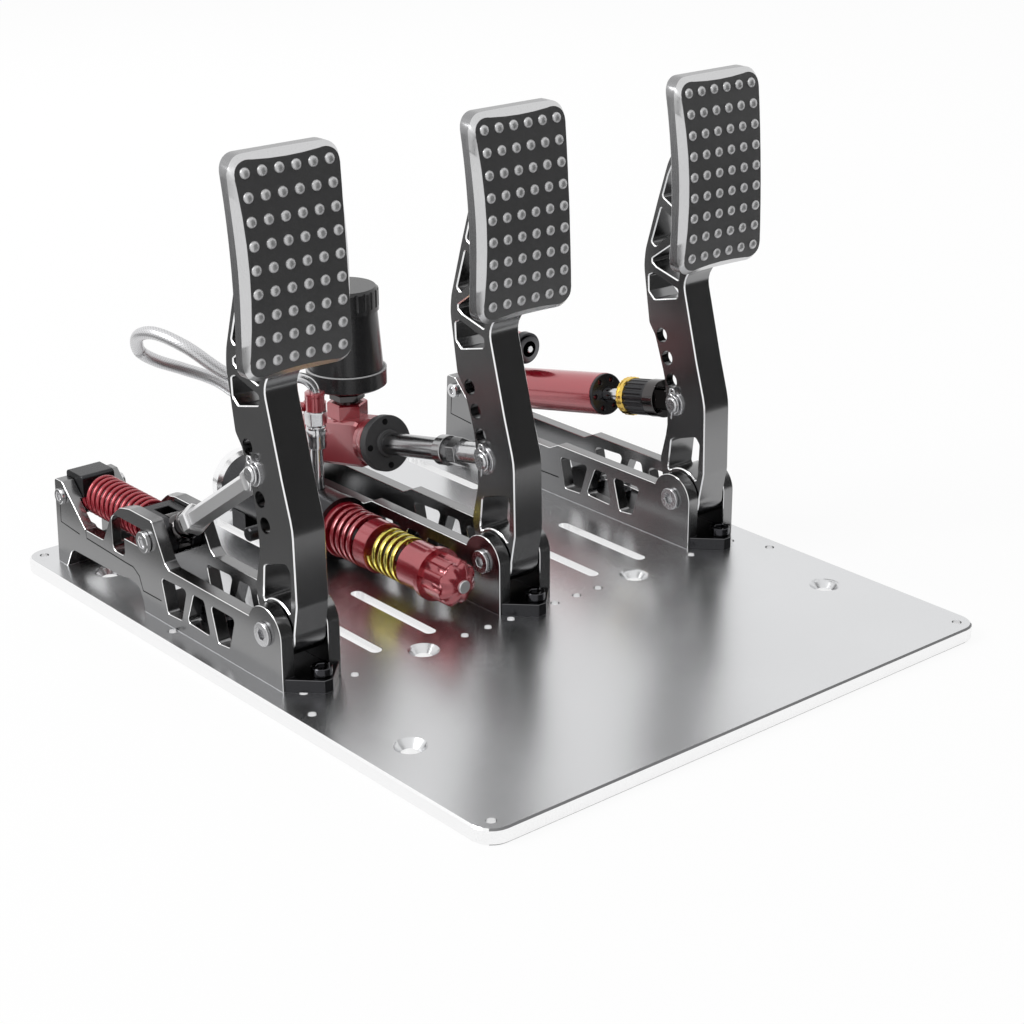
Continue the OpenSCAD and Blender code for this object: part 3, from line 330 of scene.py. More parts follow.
def plain_metal(colour, rough, grain_scale=1800, stretch=(1, 1, 1), metallic=1.0):
    """Metal with machining marks that run along the axis with the smallest stretch."""

    def make(shop):
        marks = shop.noise(shop.place(stretch), grain_scale, 3)
        shop.surface(**{
            "Base Color": shop.mix(marks, scaled(colour, 0.9), scaled(colour, 1.08)),
            "Metallic": metallic,
            "Roughness": rough + (marks - 0.5) * (rough * 0.5),
            "Normal": shop.bump(marks, 0.2, 0.00002),
        })

    return make


def tread_finish(shop):
    """Black grit coat: a fine speckle that glints a little."""
    place = shop.place()
    speck = shop.noise(place, 1700, 2, 0.7)
    grit = shop.add("ShaderNodeTexVoronoi", None, Vector=place, Scale=1500)
    shop.surface(**{
        "Base Color": shop.mix(speck.smooth(0.4, 0.75), (0.018, 0.018, 0.019), (0.055, 0.055, 0.057)),
        "Roughness": 0.34 + speck * 0.12,
        "IOR": 2.3,
        "Normal": shop.bump(grit, 0.25, 0.00008),
    })


def plastic_finish(shop):
    """Black moulded plastic with a fine spark-eroded texture."""
    grain = shop.noise(shop.place(), 2400, 2)
    shop.surface(**{
        "Base Color": shop.mix(grain, (0.008, 0.008, 0.009), (0.02, 0.02, 0.021)),
        "Roughness": 0.2 + grain * 0.1,
        "Normal": shop.bump(grain, 0.2, 0.00004),
    })


def braid_finish(shop):
    """Braided steel sleeve: two sets of strands cross along the hose's own UV map."""
    uv = shop.add("ShaderNodeUVMap", {"uv_map": "Braid"})
    along, around, _ = shop.axes(uv)
    left = ((along + around) * math.tau).sine().absolute()
    right = ((along - around) * math.tau).sine().absolute()
    over = ((along * math.tau * 2).sine() * (around * math.tau * 2).sine()) > 0
    strand = left * over + right * (1 - over)
    shop.surface(**{
        "Base Color": shop.mix(strand.smooth(0.1, 0.8), (0.3, 0.3, 0.31), (0.66, 0.66, 0.67)),
        "Metallic": 0.85,
        "Roughness": 0.42 - strand * 0.12,
        "Normal": shop.bump(strand, 0.45, 0.00025),
    })


FINISHES = {
    "Satin plate": plate_finish,
    "Dark anodised": anodised_finish("dark_colour", 0.18, 0.26),
    "Black anodised": plain_metal((0.05, 0.05, 0.053), 0.28, 2600),
    "Black coat": plain_metal((0.05, 0.05, 0.052), 0.5, 2600, metallic=0.0),
    # Near-white metal, lighter than the plate's own: painted light on the plate's upright walls and its chamfers
    # other than the front one
    "Slot wall": plain_metal((0.95, 0.95, 0.955), 0.12, 1400),
    "Black chrome": plain_metal((0.09, 0.085, 0.085), 0.1, 2600),
    # Near-black: painted shade for the side plates' grooves, and the real black of the master flange's screws
    "Groove": plain_metal((0.02, 0.02, 0.021), 0.45, 2600),
    "Bright edge": plain_metal((0.95, 0.95, 0.96), 0.2, 2600),
    "Shaded edge": plain_metal((0.13, 0.13, 0.135), 0.3, 2600),
    # Dark grey chamfer: painted shade, the dark that the plate's front chamfer mirrors put into its colour
    "Rim chamfer": plain_metal((0.2, 0.2, 0.205), 0.5, 2600, metallic=0.0),
    "Crimson anodised": crimson_finish(0.18, 2.3),
    "Crimson satin": crimson_finish(0.34, 3.2),
    "Crimson spring": crimson_finish(0.12, 1.6),
    "Gold": anodised_finish("gold_colour", 0.16, 0.24),
    "Gold ring": plain_metal((0.82, 0.56, 0.13), 0.2, 1500),
    "Polished steel": plain_metal((0.66, 0.66, 0.67), 0.14, 1400, (0.1, 1, 1)),
    "Dark steel": plain_metal((0.4, 0.4, 0.405), 0.2, 1600, (1, 0.1, 1)),
    "Turned steel": plain_metal((0.6, 0.6, 0.61), 0.26, 1600),
    "Satin steel": plain_metal((0.74, 0.74, 0.745), 0.32, 1600, metallic=0.85),
    "Grey steel": plain_metal((0.42, 0.42, 0.425), 0.5, 1600, metallic=0.0),
    "Pad metal": plain_metal((0.31, 0.31, 0.315), 0.28, 1500, (1, 1, 0.06)),
    # Lighter copy of the pad metal: painted highlight on the pads' sloping rim
    "Pad slope": plain_metal((0.62, 0.62, 0.625), 0.3, 1500, (1, 1, 0.2)),
    "Stud steel": plain_metal((0.56, 0.56, 0.565), 0.4, 2000, metallic=0.8),
    "Black screw": plain_metal((0.06, 0.06, 0.065), 0.14, 2200),
    "Grit tread": tread_finish,
    "Black plastic": plastic_finish,
    "Steel braid": braid_finish,
}

# Looks that several pieces share: finish and slot
DARK = ("Dark anodised", "dark_anodised")
BLACK = ("Black anodised", "black_anodised")
BLACK_CHROME = ("Black chrome", "black_anodised")
RED = ("Crimson anodised", "red_anodised")
POLISHED = ("Polished steel", "chrome")
TURNED_STEEL = ("Turned steel", "chrome")
SATIN = ("Satin steel", "chrome")
PLASTIC = ("Black plastic", "black_plastic")
GOLD_RING = ("Gold ring", "gold")


# Meshes
MERGE = 2e-6  # metres between points that are one
FLAT = math.radians(0.6)  # faces that meet at less are joined
CORNER = math.radians(40)  # edges that are sharper get a chamfer


def linked(name, data):
    """A new object in the scene."""
    made = bpy.data.objects.new(name, data)
    bpy.context.scene.collection.objects.link(made)
    return made


def add_object(name, mesh, body, finish, slot, *nodes):
    """Links a mesh as a piece that rides on a body, and stands for CAD nodes if any are named."""
    mesh.name = name
    piece = linked(name, mesh)
    for f in ([finish] if isinstance(finish, str) else finish):
        mesh.materials.append(material(f))
    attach(piece, body)
    if nodes:
        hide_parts(*nodes)
    return piece


def smooth(mesh, angle=30):
    """Smooth shading, with edges sharper than the angle kept crisp."""
    mesh.shade_smooth()
    mesh.set_sharp_from_angle(angle=math.radians(angle))


def prism(outline, low, high, axis=0):
    """A closed slab between two places on an axis, 0 for X or 2 for Z. Its outline holds the other two
    coordinates of each corner, in millimetres."""
    flat = np.asarray(outline, float)
    ends = [np.insert(flat, axis, v, axis=1) for v in (low, high)]
    return grid_mesh(np.stack(ends) * MM)


def combined(mesh, operation, other):
    """The mesh after an exact boolean with another one."""
    objects = [linked("carving", m) for m in (mesh, other)]
    cut = objects[0].modifiers.new("Cut", "BOOLEAN")
    cut.object, cut.operation, cut.solver = objects[1], operation, "EXACT"
    bpy.context.view_layer.update()
    result = bpy.data.meshes.new_from_object(objects[0].evaluated_get(bpy.context.evaluated_depsgraph_get()))
    for o in objects:
        bpy.data.objects.remove(o)
    return result


def without_islands(work, unwanted):
    """Deletes each separate solid whose middle, in metres, the test calls unwanted."""
    left = set(work.verts)
    while left:
        island, fresh = set(), {left.pop()}
        while fresh:
            vert = fresh.pop()
            island.add(vert)
            fresh |= {e.other_vert(vert) for e in vert.link_edges} - island
        left -= island
        spots = np.array([v.co[:] for v in island])
        if unwanted((spots.min(0) + spots.max(0)) / 2):
            bmesh.ops.delete(work, geom=list(island), context="VERTS")


def cad_copy(node, name, finish, slot, edge=0.0, edge_finish=None, changes=(), unwanted=None, chosen=None):
    """A CAD node's own shape with its doubles merged, its flat faces joined and its outer edges chamfered.
    Changes are booleans, each an operation's name and a mesh. Edge is the width of the chamfer on sharp convex
    edges. It may have a finish of its own, and be on edges that the test chooses by their middle."""
    source = NODES[node]
    work = bmesh.new()
    work.from_mesh(source.data)
    bmesh.ops.remove_doubles(work, verts=work.verts, dist=MERGE)
    if unwanted:
        without_islands(work, unwanted)
    for operation, other in changes:
        whole = bpy.data.meshes.new(name)
        work.to_mesh(whole)
        work.clear()
        work.from_mesh(combined(whole, operation, other))
        bmesh.ops.remove_doubles(work, verts=work.verts, dist=MERGE)
    bmesh.ops.dissolve_limit(
        work, angle_limit=FLAT, verts=work.verts, edges=work.edges, use_dissolve_boundaries=False)
    for face in work.faces:
        face.material_index = 0
    finishes = [finish]
    if edge > 0:
        sharp = [e for e in work.edges
                 if len(e.link_faces) == 2 and e.is_convex and e.calc_face_angle() > CORNER]
        if chosen:
            sharp = [e for e in sharp if chosen((e.verts[0].co + e.verts[1].co) / 2)]
        if edge_finish:
            finishes.append(edge_finish)
        bmesh.ops.bevel(work, geom=sharp, offset=edge, offset_type="OFFSET", segments=1, profile=0.5,
                        affect="EDGES", clamp_overlap=not edge_finish, material=1 if edge_finish else -1)
    mesh = bpy.data.meshes.new(name)
    work.to_mesh(mesh)
    work.free()
    smooth(mesh)
    piece = add_object(name, mesh, source["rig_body"], finishes, slot, node)
    flat = piece.modifiers.new("Flat faces", "WEIGHTED_NORMAL")
    flat.keep_sharp = True
    return piece


def grid_mesh(points, closed=True, uv=None):
    """Quads over an array of points[i, j]. A closed grid joins each row's end to its start and fills its first and
    last row, as at the ends of a tube, and its faces point outwards."""
    rows, columns = points.shape[:2]
    index = np.arange(rows * columns).reshape(rows, columns)
    a, b = np.meshgrid(np.arange(rows - 1), np.arange(columns if closed else columns - 1), indexing="ij")
    a2, b2 = a + 1, (b + 1) % columns
    quads = np.stack([index[a, b], index[a, b2], index[a2, b2], index[a2, b]], -1).reshape(-1, 4)
    faces = quads.tolist()
    if closed:
        faces += [index[0, ::-1].tolist(), index[-1].tolist()]
    mesh = bpy.data.meshes.new("grid")
    mesh.from_pydata(points.reshape(-1, 3).tolist(), [], faces)
    if uv is not None:
        layer = mesh.uv_layers.new(name=uv[0])
        corners = np.empty(len(mesh.loops), int)
        mesh.loops.foreach_get("vertex_index", corners)
        values = uv[1].reshape(-1, 2)[corners]
        last = np.repeat(b.reshape(-1) == columns - 1, 4).reshape(-1, 4)
        last[:, [0, 3]] = False
        wrap = np.zeros(len(corners), bool)
        wrap[:len(quads) * 4] = last.reshape(-1)
        values[wrap, 1] = uv[2]
        layer.data.foreach_set("uv", values.astype(np.float32).ravel())
    mesh.validate()
    if closed:
        work = bmesh.new()
        work.from_mesh(mesh)
        bmesh.ops.recalc_face_normals(work, faces=work.faces)
        work.to_mesh(mesh)
        work.free()
    return mesh


def unit(v):
    return v / np.linalg.norm(v, axis=-1, keepdims=True)


def circle(sides, turn=0.0):
    """Points of a unit circle, from the given angle on."""
    a = np.linspace(0, math.tau, sides, endpoint=False) + turn
    return np.column_stack([np.cos(a), np.sin(a)])


ROUND = circle(56)
HEXAGON = circle(6, math.radians(30)) * 2 / math.sqrt(3)  # size 1 is half the distance across flats


def lathe(profile, origin, axis, outline=ROUND, angle=30):
    """A form along an axis, from (distance, size) pairs in millimetres. Side is X, or Y where the axis is X, and
    point (i, k) is origin + distance[i] * axis + size[i] * (outline[k, 0] * side + outline[k, 1] * up)."""
    axis = unit(np.asarray(axis, float))
    side = np.array((0.0, 1, 0) if abs(axis[0]) > 0.9 else (1.0, 0, 0))
    up = np.cross(axis, side)
    distance, size = np.asarray(profile, float).T
    across = outline[:, :1] * side + outline[:, 1:] * up
    points = np.asarray(origin, float) + distance[:, None, None] * axis + size[:, None, None] * across[None]
    mesh = grid_mesh(points * MM)
    smooth(mesh, angle)
    return mesh


def joined(*meshes):
    """One mesh of several."""
    work = bmesh.new()
    for mesh in meshes:
        work.from_mesh(mesh)
    result = bpy.data.meshes.new("joined")
    work.to_mesh(result)
    work.free()
    return result


def swept(path, section, reference):
    """A section along a path. Point (i, k) is path[i] + section[k, 0] * side[i] + section[k, 1] * up[i],
    where side is square to the path and the reference, and up is square to both the path and side."""
    along = unit(np.gradient(path, axis=0))
    side = unit(np.cross(along, reference))
    up = np.cross(along, side)
    return path[:, None] + section[None, :, :1] * side[:, None] + section[None, :, 1:] * up[:, None]


def tube(path, section, reference, angle=50, uv=None):
    """A closed tube with a section swept along a path."""
    mesh = grid_mesh(swept(path, section, reference), uv=uv)
    smooth(mesh, angle)
    return mesh


def spline(points, steps):
    """Catmull-Rom curve through the points: each span is the usual cubic of its four nearest points,
    and past each end the nearest point but one is mirrored."""
    p = np.vstack([2 * points[:1] - points[1:2], points, 2 * points[-1:] - points[-2:-1]])
    f = np.linspace(0, 1, steps, endpoint=False)[None, :, None]
    a, b, c, d = (p[k:len(p) - 3 + k, None] for k in range(4))
    curve = 0.5 * (2 * b + (c - a) * f + (2 * a - 5 * b + 4 * c - d) * f ** 2 + (3 * b - a - 3 * c + d) * f ** 3)
    return np.vstack([curve.reshape(-1, 3), points[-1:]])


def between(start, end, x):
    """Origin and axis of the line from one (Y, Z) place to another at one X."""
    origin = np.array((x, *start), float)
    return origin, unit(np.array((x, *end), float) - origin)


def cylinder_line(pedal):
    """The line from a pedal's rear bolt to its link pin."""
    return between(REAR_BOLT, LOW_PIN, STATION_X[pedal])


# CAD nodes that keep their shape, by finish and slot, each with its piece's name
TURNED = {
    TURNED_STEEL: {
        "pivot_bolts": "pivot_bolts_polished", "rear_spacers": "spacers_turned",
        "clutch_spring_guide": "spring_guide_rod"},
    ("Turned steel", "bearing"): {"pivot_bearings": "bearings_turned"},
    ("Turned steel", "black_anodised"): {"brake_clevis": "brake_clevis_satin"},
    SATIN: {"clutch_rod": "clutch_rod_core"},
    ("Dark steel", "chrome"): {"brake_pushrod": "brake_pushrod_dark"},
    POLISHED: {"crosshead_pin": "crosshead_pin_polished", "damper_rod": "damper_rod_polished"},
    ("Polished steel", "steel"): {"slave_inlet": "inlet_fitting_polished"},
    BLACK: {
        "clutch_crosshead": "crosshead_black", "clutch_spring_block": "spring_block_black",
        "slave_cylinder": "slave_cylinder_black", "slave_feet": "slave_feet_black",
        "damper_cap": "damper_cap_black", "damper_rear_eye": "damper_rear_eye_black",
        "damper_knob": "damper_knob_fluted", "damper_adjuster": "adjuster_disc"},
    BLACK_CHROME: {"damper_eye": "damper_eye_black"},
    ("Black coat", "chrome"): {"slave_rod": "slave_rod_dark"},
    PLASTIC: {"reservoir": "reservoir_can", "reservoir_cap": "reservoir_cap_fluted"},
    RED: {
        "master_cylinder": "master_cylinder_red", "outlet_fitting": "outlet_fitting_red",
        "slave_front_cup": "front_cup_red", "slave_knob": "preload_knob_red",
        "slave_middle_collar": "middle_collar_red", "slave_spring_seat": "spring_seat_red",
        "throttle_damper": "damper_body_red"},
    GOLD_RING: {"damper_ring": "damper_ring_gold"},
}


class PieceOperator:
    """What the operators here share."""

    bl_options = {"REGISTER", "UNDO"}


class PEDALS_OT_stage(PieceOperator, bpy.types.Operator):
    """Camera at the photograph's view, pale floor, white surroundings and soft lamps"""

    bl_idname = "pedals.stage"
    bl_label = "Stage"

    camera_place = (-0.827, -1.00275, 0.5828)
    camera_turn = (-40.32, 21.82, -0.17)  # yaw, pitch and roll in degrees
    floor_half, glow_share = 9, 0.92

    def execute(self, context):
        values = stage_settings()
        scene = context.scene
        camera = linked("Camera", bpy.data.cameras.new("Camera"))
        camera.data.sensor_width = 36
        camera.data.lens = values.lens
        camera.data.clip_start, camera.data.clip_end = 0.01, 50
        yaw, pitch, roll = (math.radians(a) for a in self.camera_turn)
        camera.matrix_world = (
            Matrix.Translation(Vector(self.camera_place))
            @ Matrix.Rotation(yaw, 4, "Z") @ Matrix.Rotation(math.pi / 2 - pitch, 4, "X")
            @ Matrix.Rotation(roll, 4, "Z"))
        scene.camera = camera
        scene.view_settings.view_transform = "Standard"

        world = bpy.data.worlds.new("Studio")
        world.use_nodes = True
        scene.world = world
        shop = Shop(world.node_tree)
        level = shop.add("ShaderNodeMath", {"operation": "MULTIPLY_ADD"}, self.seen(shop),
                         1 - values.world_level, values.world_level)
        back = shop.add("ShaderNodeBackground", None, (1, 1, 1), level)
        out = shop.tree.nodes.new("ShaderNodeOutputWorld")
        shop.tree.links.new(back.socket, out.inputs[0])

        self.floor(values)
        self.lamp("Key light", (-1.6, 0.5, 1.5), (0, 0, 0.1), 1.3, values.key_power)
        self.lamp("Rim light", (0.8, 1.7, 1.4), (0, 0, 0.1), 1.0, values.rim_power).visible_glossy = False
        self.card("Dark card", [(1.5, -0.9, 0), (-0.35, -1.9, 0), (-0.35, -1.9, 1.5), (1.5, -0.9, 1.5)],
                  values.card_level)
        self.card("Floor card", [(1.6, -0.31, 0.002), (-0.18, -0.31, 0.002), (-0.18, -1.4, 0.002),
                                 (1.6, -1.4, 0.002)], values.card_level)
        self.card("Side card", [(-0.24, 0.02, 0.002), (-1.4, 0.02, 0.002), (-1.4, 1.1, 0.002),
                                (-0.24, 1.1, 0.002)], values.side_level)
        return {"FINISHED"}

    @staticmethod
    def seen(shop):
        """1 for rays from the camera and for those that a gloss or a glass sends on."""
        path = shop.tree.nodes.new("ShaderNodeLightPath")
        camera, glossy, clear = (Socket(shop, path.outputs[n]) for n in
                                 ("Is Camera Ray", "Is Glossy Ray", "Is Transmission Ray"))
        return camera.maximum(glossy).maximum(clear)

    def floor(self, values):
        """A wide pale floor that still shows a share of the object's shadow."""
        made, shop = new_material("Pale floor")
        grain = shop.noise(shop.place(), 3, 2)
        cloth = shop.add("ShaderNodeBsdfDiffuse", None, tuple(values.floor_colour) + (1,), 0.6 + grain * 0.1)
        glow = shop.add("ShaderNodeEmission", None, (1, 1, 1), 1.0)
        shop.output(shop.add("ShaderNodeMixShader", None, self.seen(shop) * self.glow_share, cloth, glow))
        half = self.floor_half
        points = np.array([[(-half, -half, 0), (-half, half, 0)], [(half, -half, 0), (half, half, 0)]], float)
        mesh = grid_mesh(points, closed=False)
        mesh.flip_normals()
        floor = linked("Floor", mesh)
        mesh.materials.append(made)

    @staticmethod
    def lamp(name, place, target, size, power):
        lamp = linked(name, bpy.data.lights.new(name, "AREA"))
        lamp.data.shape = "DISK"
        lamp.data.size = size
        lamp.data.energy = power
        lamp.location = place
        lamp.rotation_mode = "QUATERNION"
        lamp.rotation_quaternion = (Vector(target) - Vector(place)).to_track_quat("-Z", "Y")
        return lamp

    @staticmethod
    def card(name, corners, level):
        """A dark card with four corners that only mirrors see."""
        a, b, c, d = corners
        card = linked(name, grid_mesh(np.array([[a, b], [d, c]], float), closed=False))
        made, shop = new_material(name)
        shop.output(shop.add("ShaderNodeEmission", None, (1, 1, 1), level))
        card.data.materials.append(made)
        for ray in ("camera", "diffuse", "shadow", "transmission", "volume_scatter"):
            setattr(card, f"visible_{ray}", False)


class PEDALS_OT_hose(PieceOperator, bpy.types.Operator):
    """Braided hose from the master cylinder's outlet to the slave cylinder's inlet"""

    bl_idname = "pedals.hose"
    bl_label = "Brake hose"

    # The route of the CAD hose, in millimetres: where it leaves, how it heads there, and the loop between
    start, start_heading = (0, 182.5, 86), 143
    end, end_heading = (SLAVE_X, 117.5, 134), 154
    start_reach, end_reach, straight = 17.5, 20.1, 11
    loop = [(-35, 211, 90), (-51, 226, 105), (-72, 233, 116), (-94, 232, 127), (-112, 223, 140),
            (-122, 206, 156), (-122, 184, 163), (-113, 161, 157), (-94, 143, 139)]
    across = np.array((1, 1, -1)) / math.sqrt(3)
    strands, sides, steps = 6, 24, 8

    @staticmethod
    def out_of(place, heading, reach):
        """The point that lies that far from the place, level, in the heading's direction."""
        a = math.radians(heading)
        return np.array(place, float) + reach * np.array((math.cos(a), math.sin(a), 0))

    def execute(self, context):
        radius = detail_settings().hose_radius
        ends = [self.out_of(self.start, self.start_heading, self.start_reach + s) for s in (0, self.straight)]
        ends += [self.out_of(self.end, self.end_heading, self.end_reach + s) for s in (self.straight, 0)]
        path = spline(np.vstack([ends[:2], np.array(self.loop, float), ends[2:]]) * MM, self.steps)
        length = np.concatenate([[0], np.cumsum(np.linalg.norm(np.diff(path, axis=0), axis=1))])
        u = length / (math.tau * radius) * self.strands
        v = np.linspace(0, self.strands, self.sides, endpoint=False)
        uv = np.stack(np.meshgrid(u, v, indexing="ij"), -1)
        mesh = tube(path, radius * circle(self.sides), self.across, uv=("Braid", uv, self.strands))
        piece = add_object("brake_hose_braided", mesh, "root", "Steel braid", "braid", "brake_hose")
        return {"FINISHED"}


class PEDALS_OT_springs(PieceOperator, bpy.types.Operator):
    """The three coil springs, each swept as a still coil between its seats"""

    bl_idname = "pedals.springs"
    bl_label = "Springs"

    wire = circle(12)
    flat = np.array([(-1, -0.9), (-0.8, -1), (0.8, -1), (1, -0.9), (1, 0.9), (0.8, 1), (-0.8, 1), (-1, 0.9)])
    # Name, node, body, joint, axis X and Z, ends in Y, outer radius, section, half its depth and width, turns,
    # look, share of the length kept.
    coils = [
        ("clutch_coil", "clutch_spring", "root", "crosshead_slide", (-165, 60), (126, 195), 14,
         wire, (1.55, 1.55), 11.5, ("Crimson spring", "red_spring"), 0.565),
        ("front_coil_gold", "slave_gold_spring", "spring_collar", "collar_slide", (SLAVE_X, SLAVE_Z), (14, 46),
         15.5, flat, (0.9, 1.7), 4.5, ("Gold", "gold"), 0.9),
        ("rear_coil_red", "slave_red_spring", "root", "collar_slide", (SLAVE_X, SLAVE_Z), (58, 86),
         17.5, flat, (0.95, 1.65), 4.1, ("Crimson anodised", "red_spring"), 0.89),
    ]
    seat, steps = 0.1, 36  # room at each end in millimetres, and places in a turn

    def execute(self, context):
        for (name, node, body, joint, (x, z), (y0, y1), outer, section, (deep, wide), turns, look,
             keep) in self.coils:
            mean = outer - deep
            low, high = y0 + wide + self.seat, y1 - wide - self.seat
            f = np.linspace(0, 1, int(turns * self.steps) + 1)
            a = math.tau * turns * f
            path = np.column_stack([mean * np.cos(a), low + (high - low) * f, -mean * np.sin(a)])
            mesh = tube((path + (x, 0, z)) * MM, section * (deep * MM, wide * MM), np.array((0, 1, 0)))
            piece = add_object(name, mesh, body, *look, node)
            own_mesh(piece)
        return {"FINISHED"}


class PEDALS_OT_plate(PieceOperator, bpy.types.Operator):
    """Base plate with its satin face and chamfered rim: the front chamfer is darkened as painted shade, and the
    other chamfers and all walls are lightened as painted light
    """

    bl_idname = "pedals.plate"
    bl_label = "Base plate"

    inner_half = (195.5, 238.5)  # holes lie within this distance of the plate's middle, and its rim outside it

    def execute(self, context):
        half = np.array(self.inner_half) * MM
        piece = cad_copy("base_plate", "base_plate_satin", "Satin plate", "plate", finish_settings().plate_edge,
                         "Rim chamfer", chosen=lambda middle: (np.abs(middle[:2]) > half).any())
        mesh = piece.data
        mesh.materials.append(material("Slot wall"))
        count = len(mesh.polygons)
        normal, index = np.empty(3 * count), np.empty(count, int)
        mesh.polygons.foreach_get("normal", normal)
        mesh.polygons.foreach_get("material_index", index)
        normal = normal.reshape(-1, 3)
        # Chamfer faces that look to the front keep the dark finish as painted shade; chamfers facing elsewhere
        # take the near-white painted light of the walls
        index[(index == 1) & (normal[:, 1] > -0.5)] = 2
        # Every upright wall, slots, holes and the plate's sides, takes the near-white finish as painted light
        index[np.abs(normal[:, 2]) < 0.3] = 2
        mesh.polygons.foreach_set("material_index", index)
        return {"FINISHED"}


class PEDALS_OT_frames(PieceOperator, bpy.types.Operator):
    """Side plates, foot blocks and arms in dark metal with bright chamfers, and grooves on the side plates drawn
    as near-black bands of painted shade
    """

    bl_idname = "pedals.frames"
    bl_label = "Side plates and arms"

    # The brake's and throttle's side plates step down behind the windows and run on low. (Y, Z) in millimetres
    low_rail = [(70, 48.3), (91, 48.3), (100, 44), (168, 44), (168, 90), (70, 90)]
    rail_fill = [(128, 38), (148, 38), (148, 44), (128, 44)]
    rail_reach = 30  # from a station past both side plates
    # The foot blocks' noses lose their right corner, (X, Y) from the station
    nose_cut, nose_levels = [(2, -58.7), (2, -70), (30, -70), (30, -40.95), (19.75, -40.95)], (5, 25)
    # The foot screws' heads end at this height
    head_cut, head_top = [(-200, -70), (200, -70), (200, 90), (-200, 90)], 23.5
    tie_bolts_before = 150 * MM  # the bolts in front of this place went through the side plates' humps
    plate_share, foot_share = 0.45, 0.4  # chamfers on side plates and foot blocks, as shares of the arms'
    grooves = [
        [(210.5, 60.6), (211.7, 40.3), (188, 38.6)],
        [(179.7, 46.8), (179, 38.6), (130, 37), (121.7, 37), (115, 33), (111.4, 24), (90, 24.3)],
    ]
    link_holes = [LOW_PIN, (-12, 120), CLUTCH_PIN, (-1.6, 149.4)]
    rim_reach = 6 * MM
    groove_width, groove_stand = 0.9, 0.04

    def execute(self, context):
        edge = finish_settings().arm_edge
        for pedal in PEDALS:
            x = STATION_X[pedal]
            for side in SIDES:
                sign = -1 if side == "left" else 1
                walls = sorted((x + sign * CHEEK_IN, x + sign * CHEEK_OUT))
                changes = [] if pedal == "clutch" else [
                    ("DIFFERENCE", prism(self.low_rail, x - self.rail_reach, x + self.rail_reach)),
                    ("UNION", prism(self.rail_fill, *walls))]
                cad_copy(f"{pedal}_{side}_plate", f"{pedal}_{side}_plate_dark", *DARK, edge * self.plate_share,
                         "Bright edge", changes)
                # Painted shade: near-black bands on each side plate stand for the shade inside its grooves
                mesh = joined(*(self.groove(g, x + sign * CHEEK_OUT) for g in self.grooves))
                add_object(f"{pedal}_{side}_grooves", mesh, "root", "Groove", "dark_anodised")
            cad_copy(f"{pedal}_arm", f"{pedal}_arm_dark", *DARK, edge, "Bright edge", chosen=self.off_holes)
        noses = [("DIFFERENCE", prism([(x + a, b) for a, b in self.nose_cut], *self.nose_levels, 2))
                 for x in STATION_X.values()]
        cad_copy("pedal_feet", "pedal_feet_black", *BLACK, edge * self.foot_share, "Shaded edge", noses)
        cad_copy("foot_screws", "foot_screws_black", "Black screw", "black_screw", finish_settings().small_edge,
                 changes=[("DIFFERENCE", prism(self.head_cut, self.head_top, self.head_top + 10, 2))])
        cad_copy("cross_bolts", "cross_bolts_polished", *POLISHED, finish_settings().small_edge,
                 unwanted=lambda middle: middle[1] < self.tie_bolts_before)
        return {"FINISHED"}

    def off_holes(self, middle):
        """Whether an edge's middle lies clear of the rims of an arm's round link holes."""
        return min(math.hypot(middle[1] - y * MM, middle[2] - z * MM) for y, z in self.link_holes) > self.rim_reach

    def groove(self, places, x):
        """A thin dark band on a side plate's face, painted shade where a groove runs. At each place of its line
        stand four corners, half the width to each side along the line's normal and a hair in and out of the face."""
        line = np.asarray(places, float)
        along = unit(np.gradient(line, axis=0))
        normal = np.column_stack([-along[:, 1], along[:, 0]]) * self.groove_width / 2
        corners = [(-1, -1), (1, -1), (1, 1), (-1, 1)]
        points = np.stack([np.column_stack([np.full(len(line), x + h * self.groove_stand), line + w * normal])
                           for w, h in corners], 1)
        return grid_mesh(points * MM)


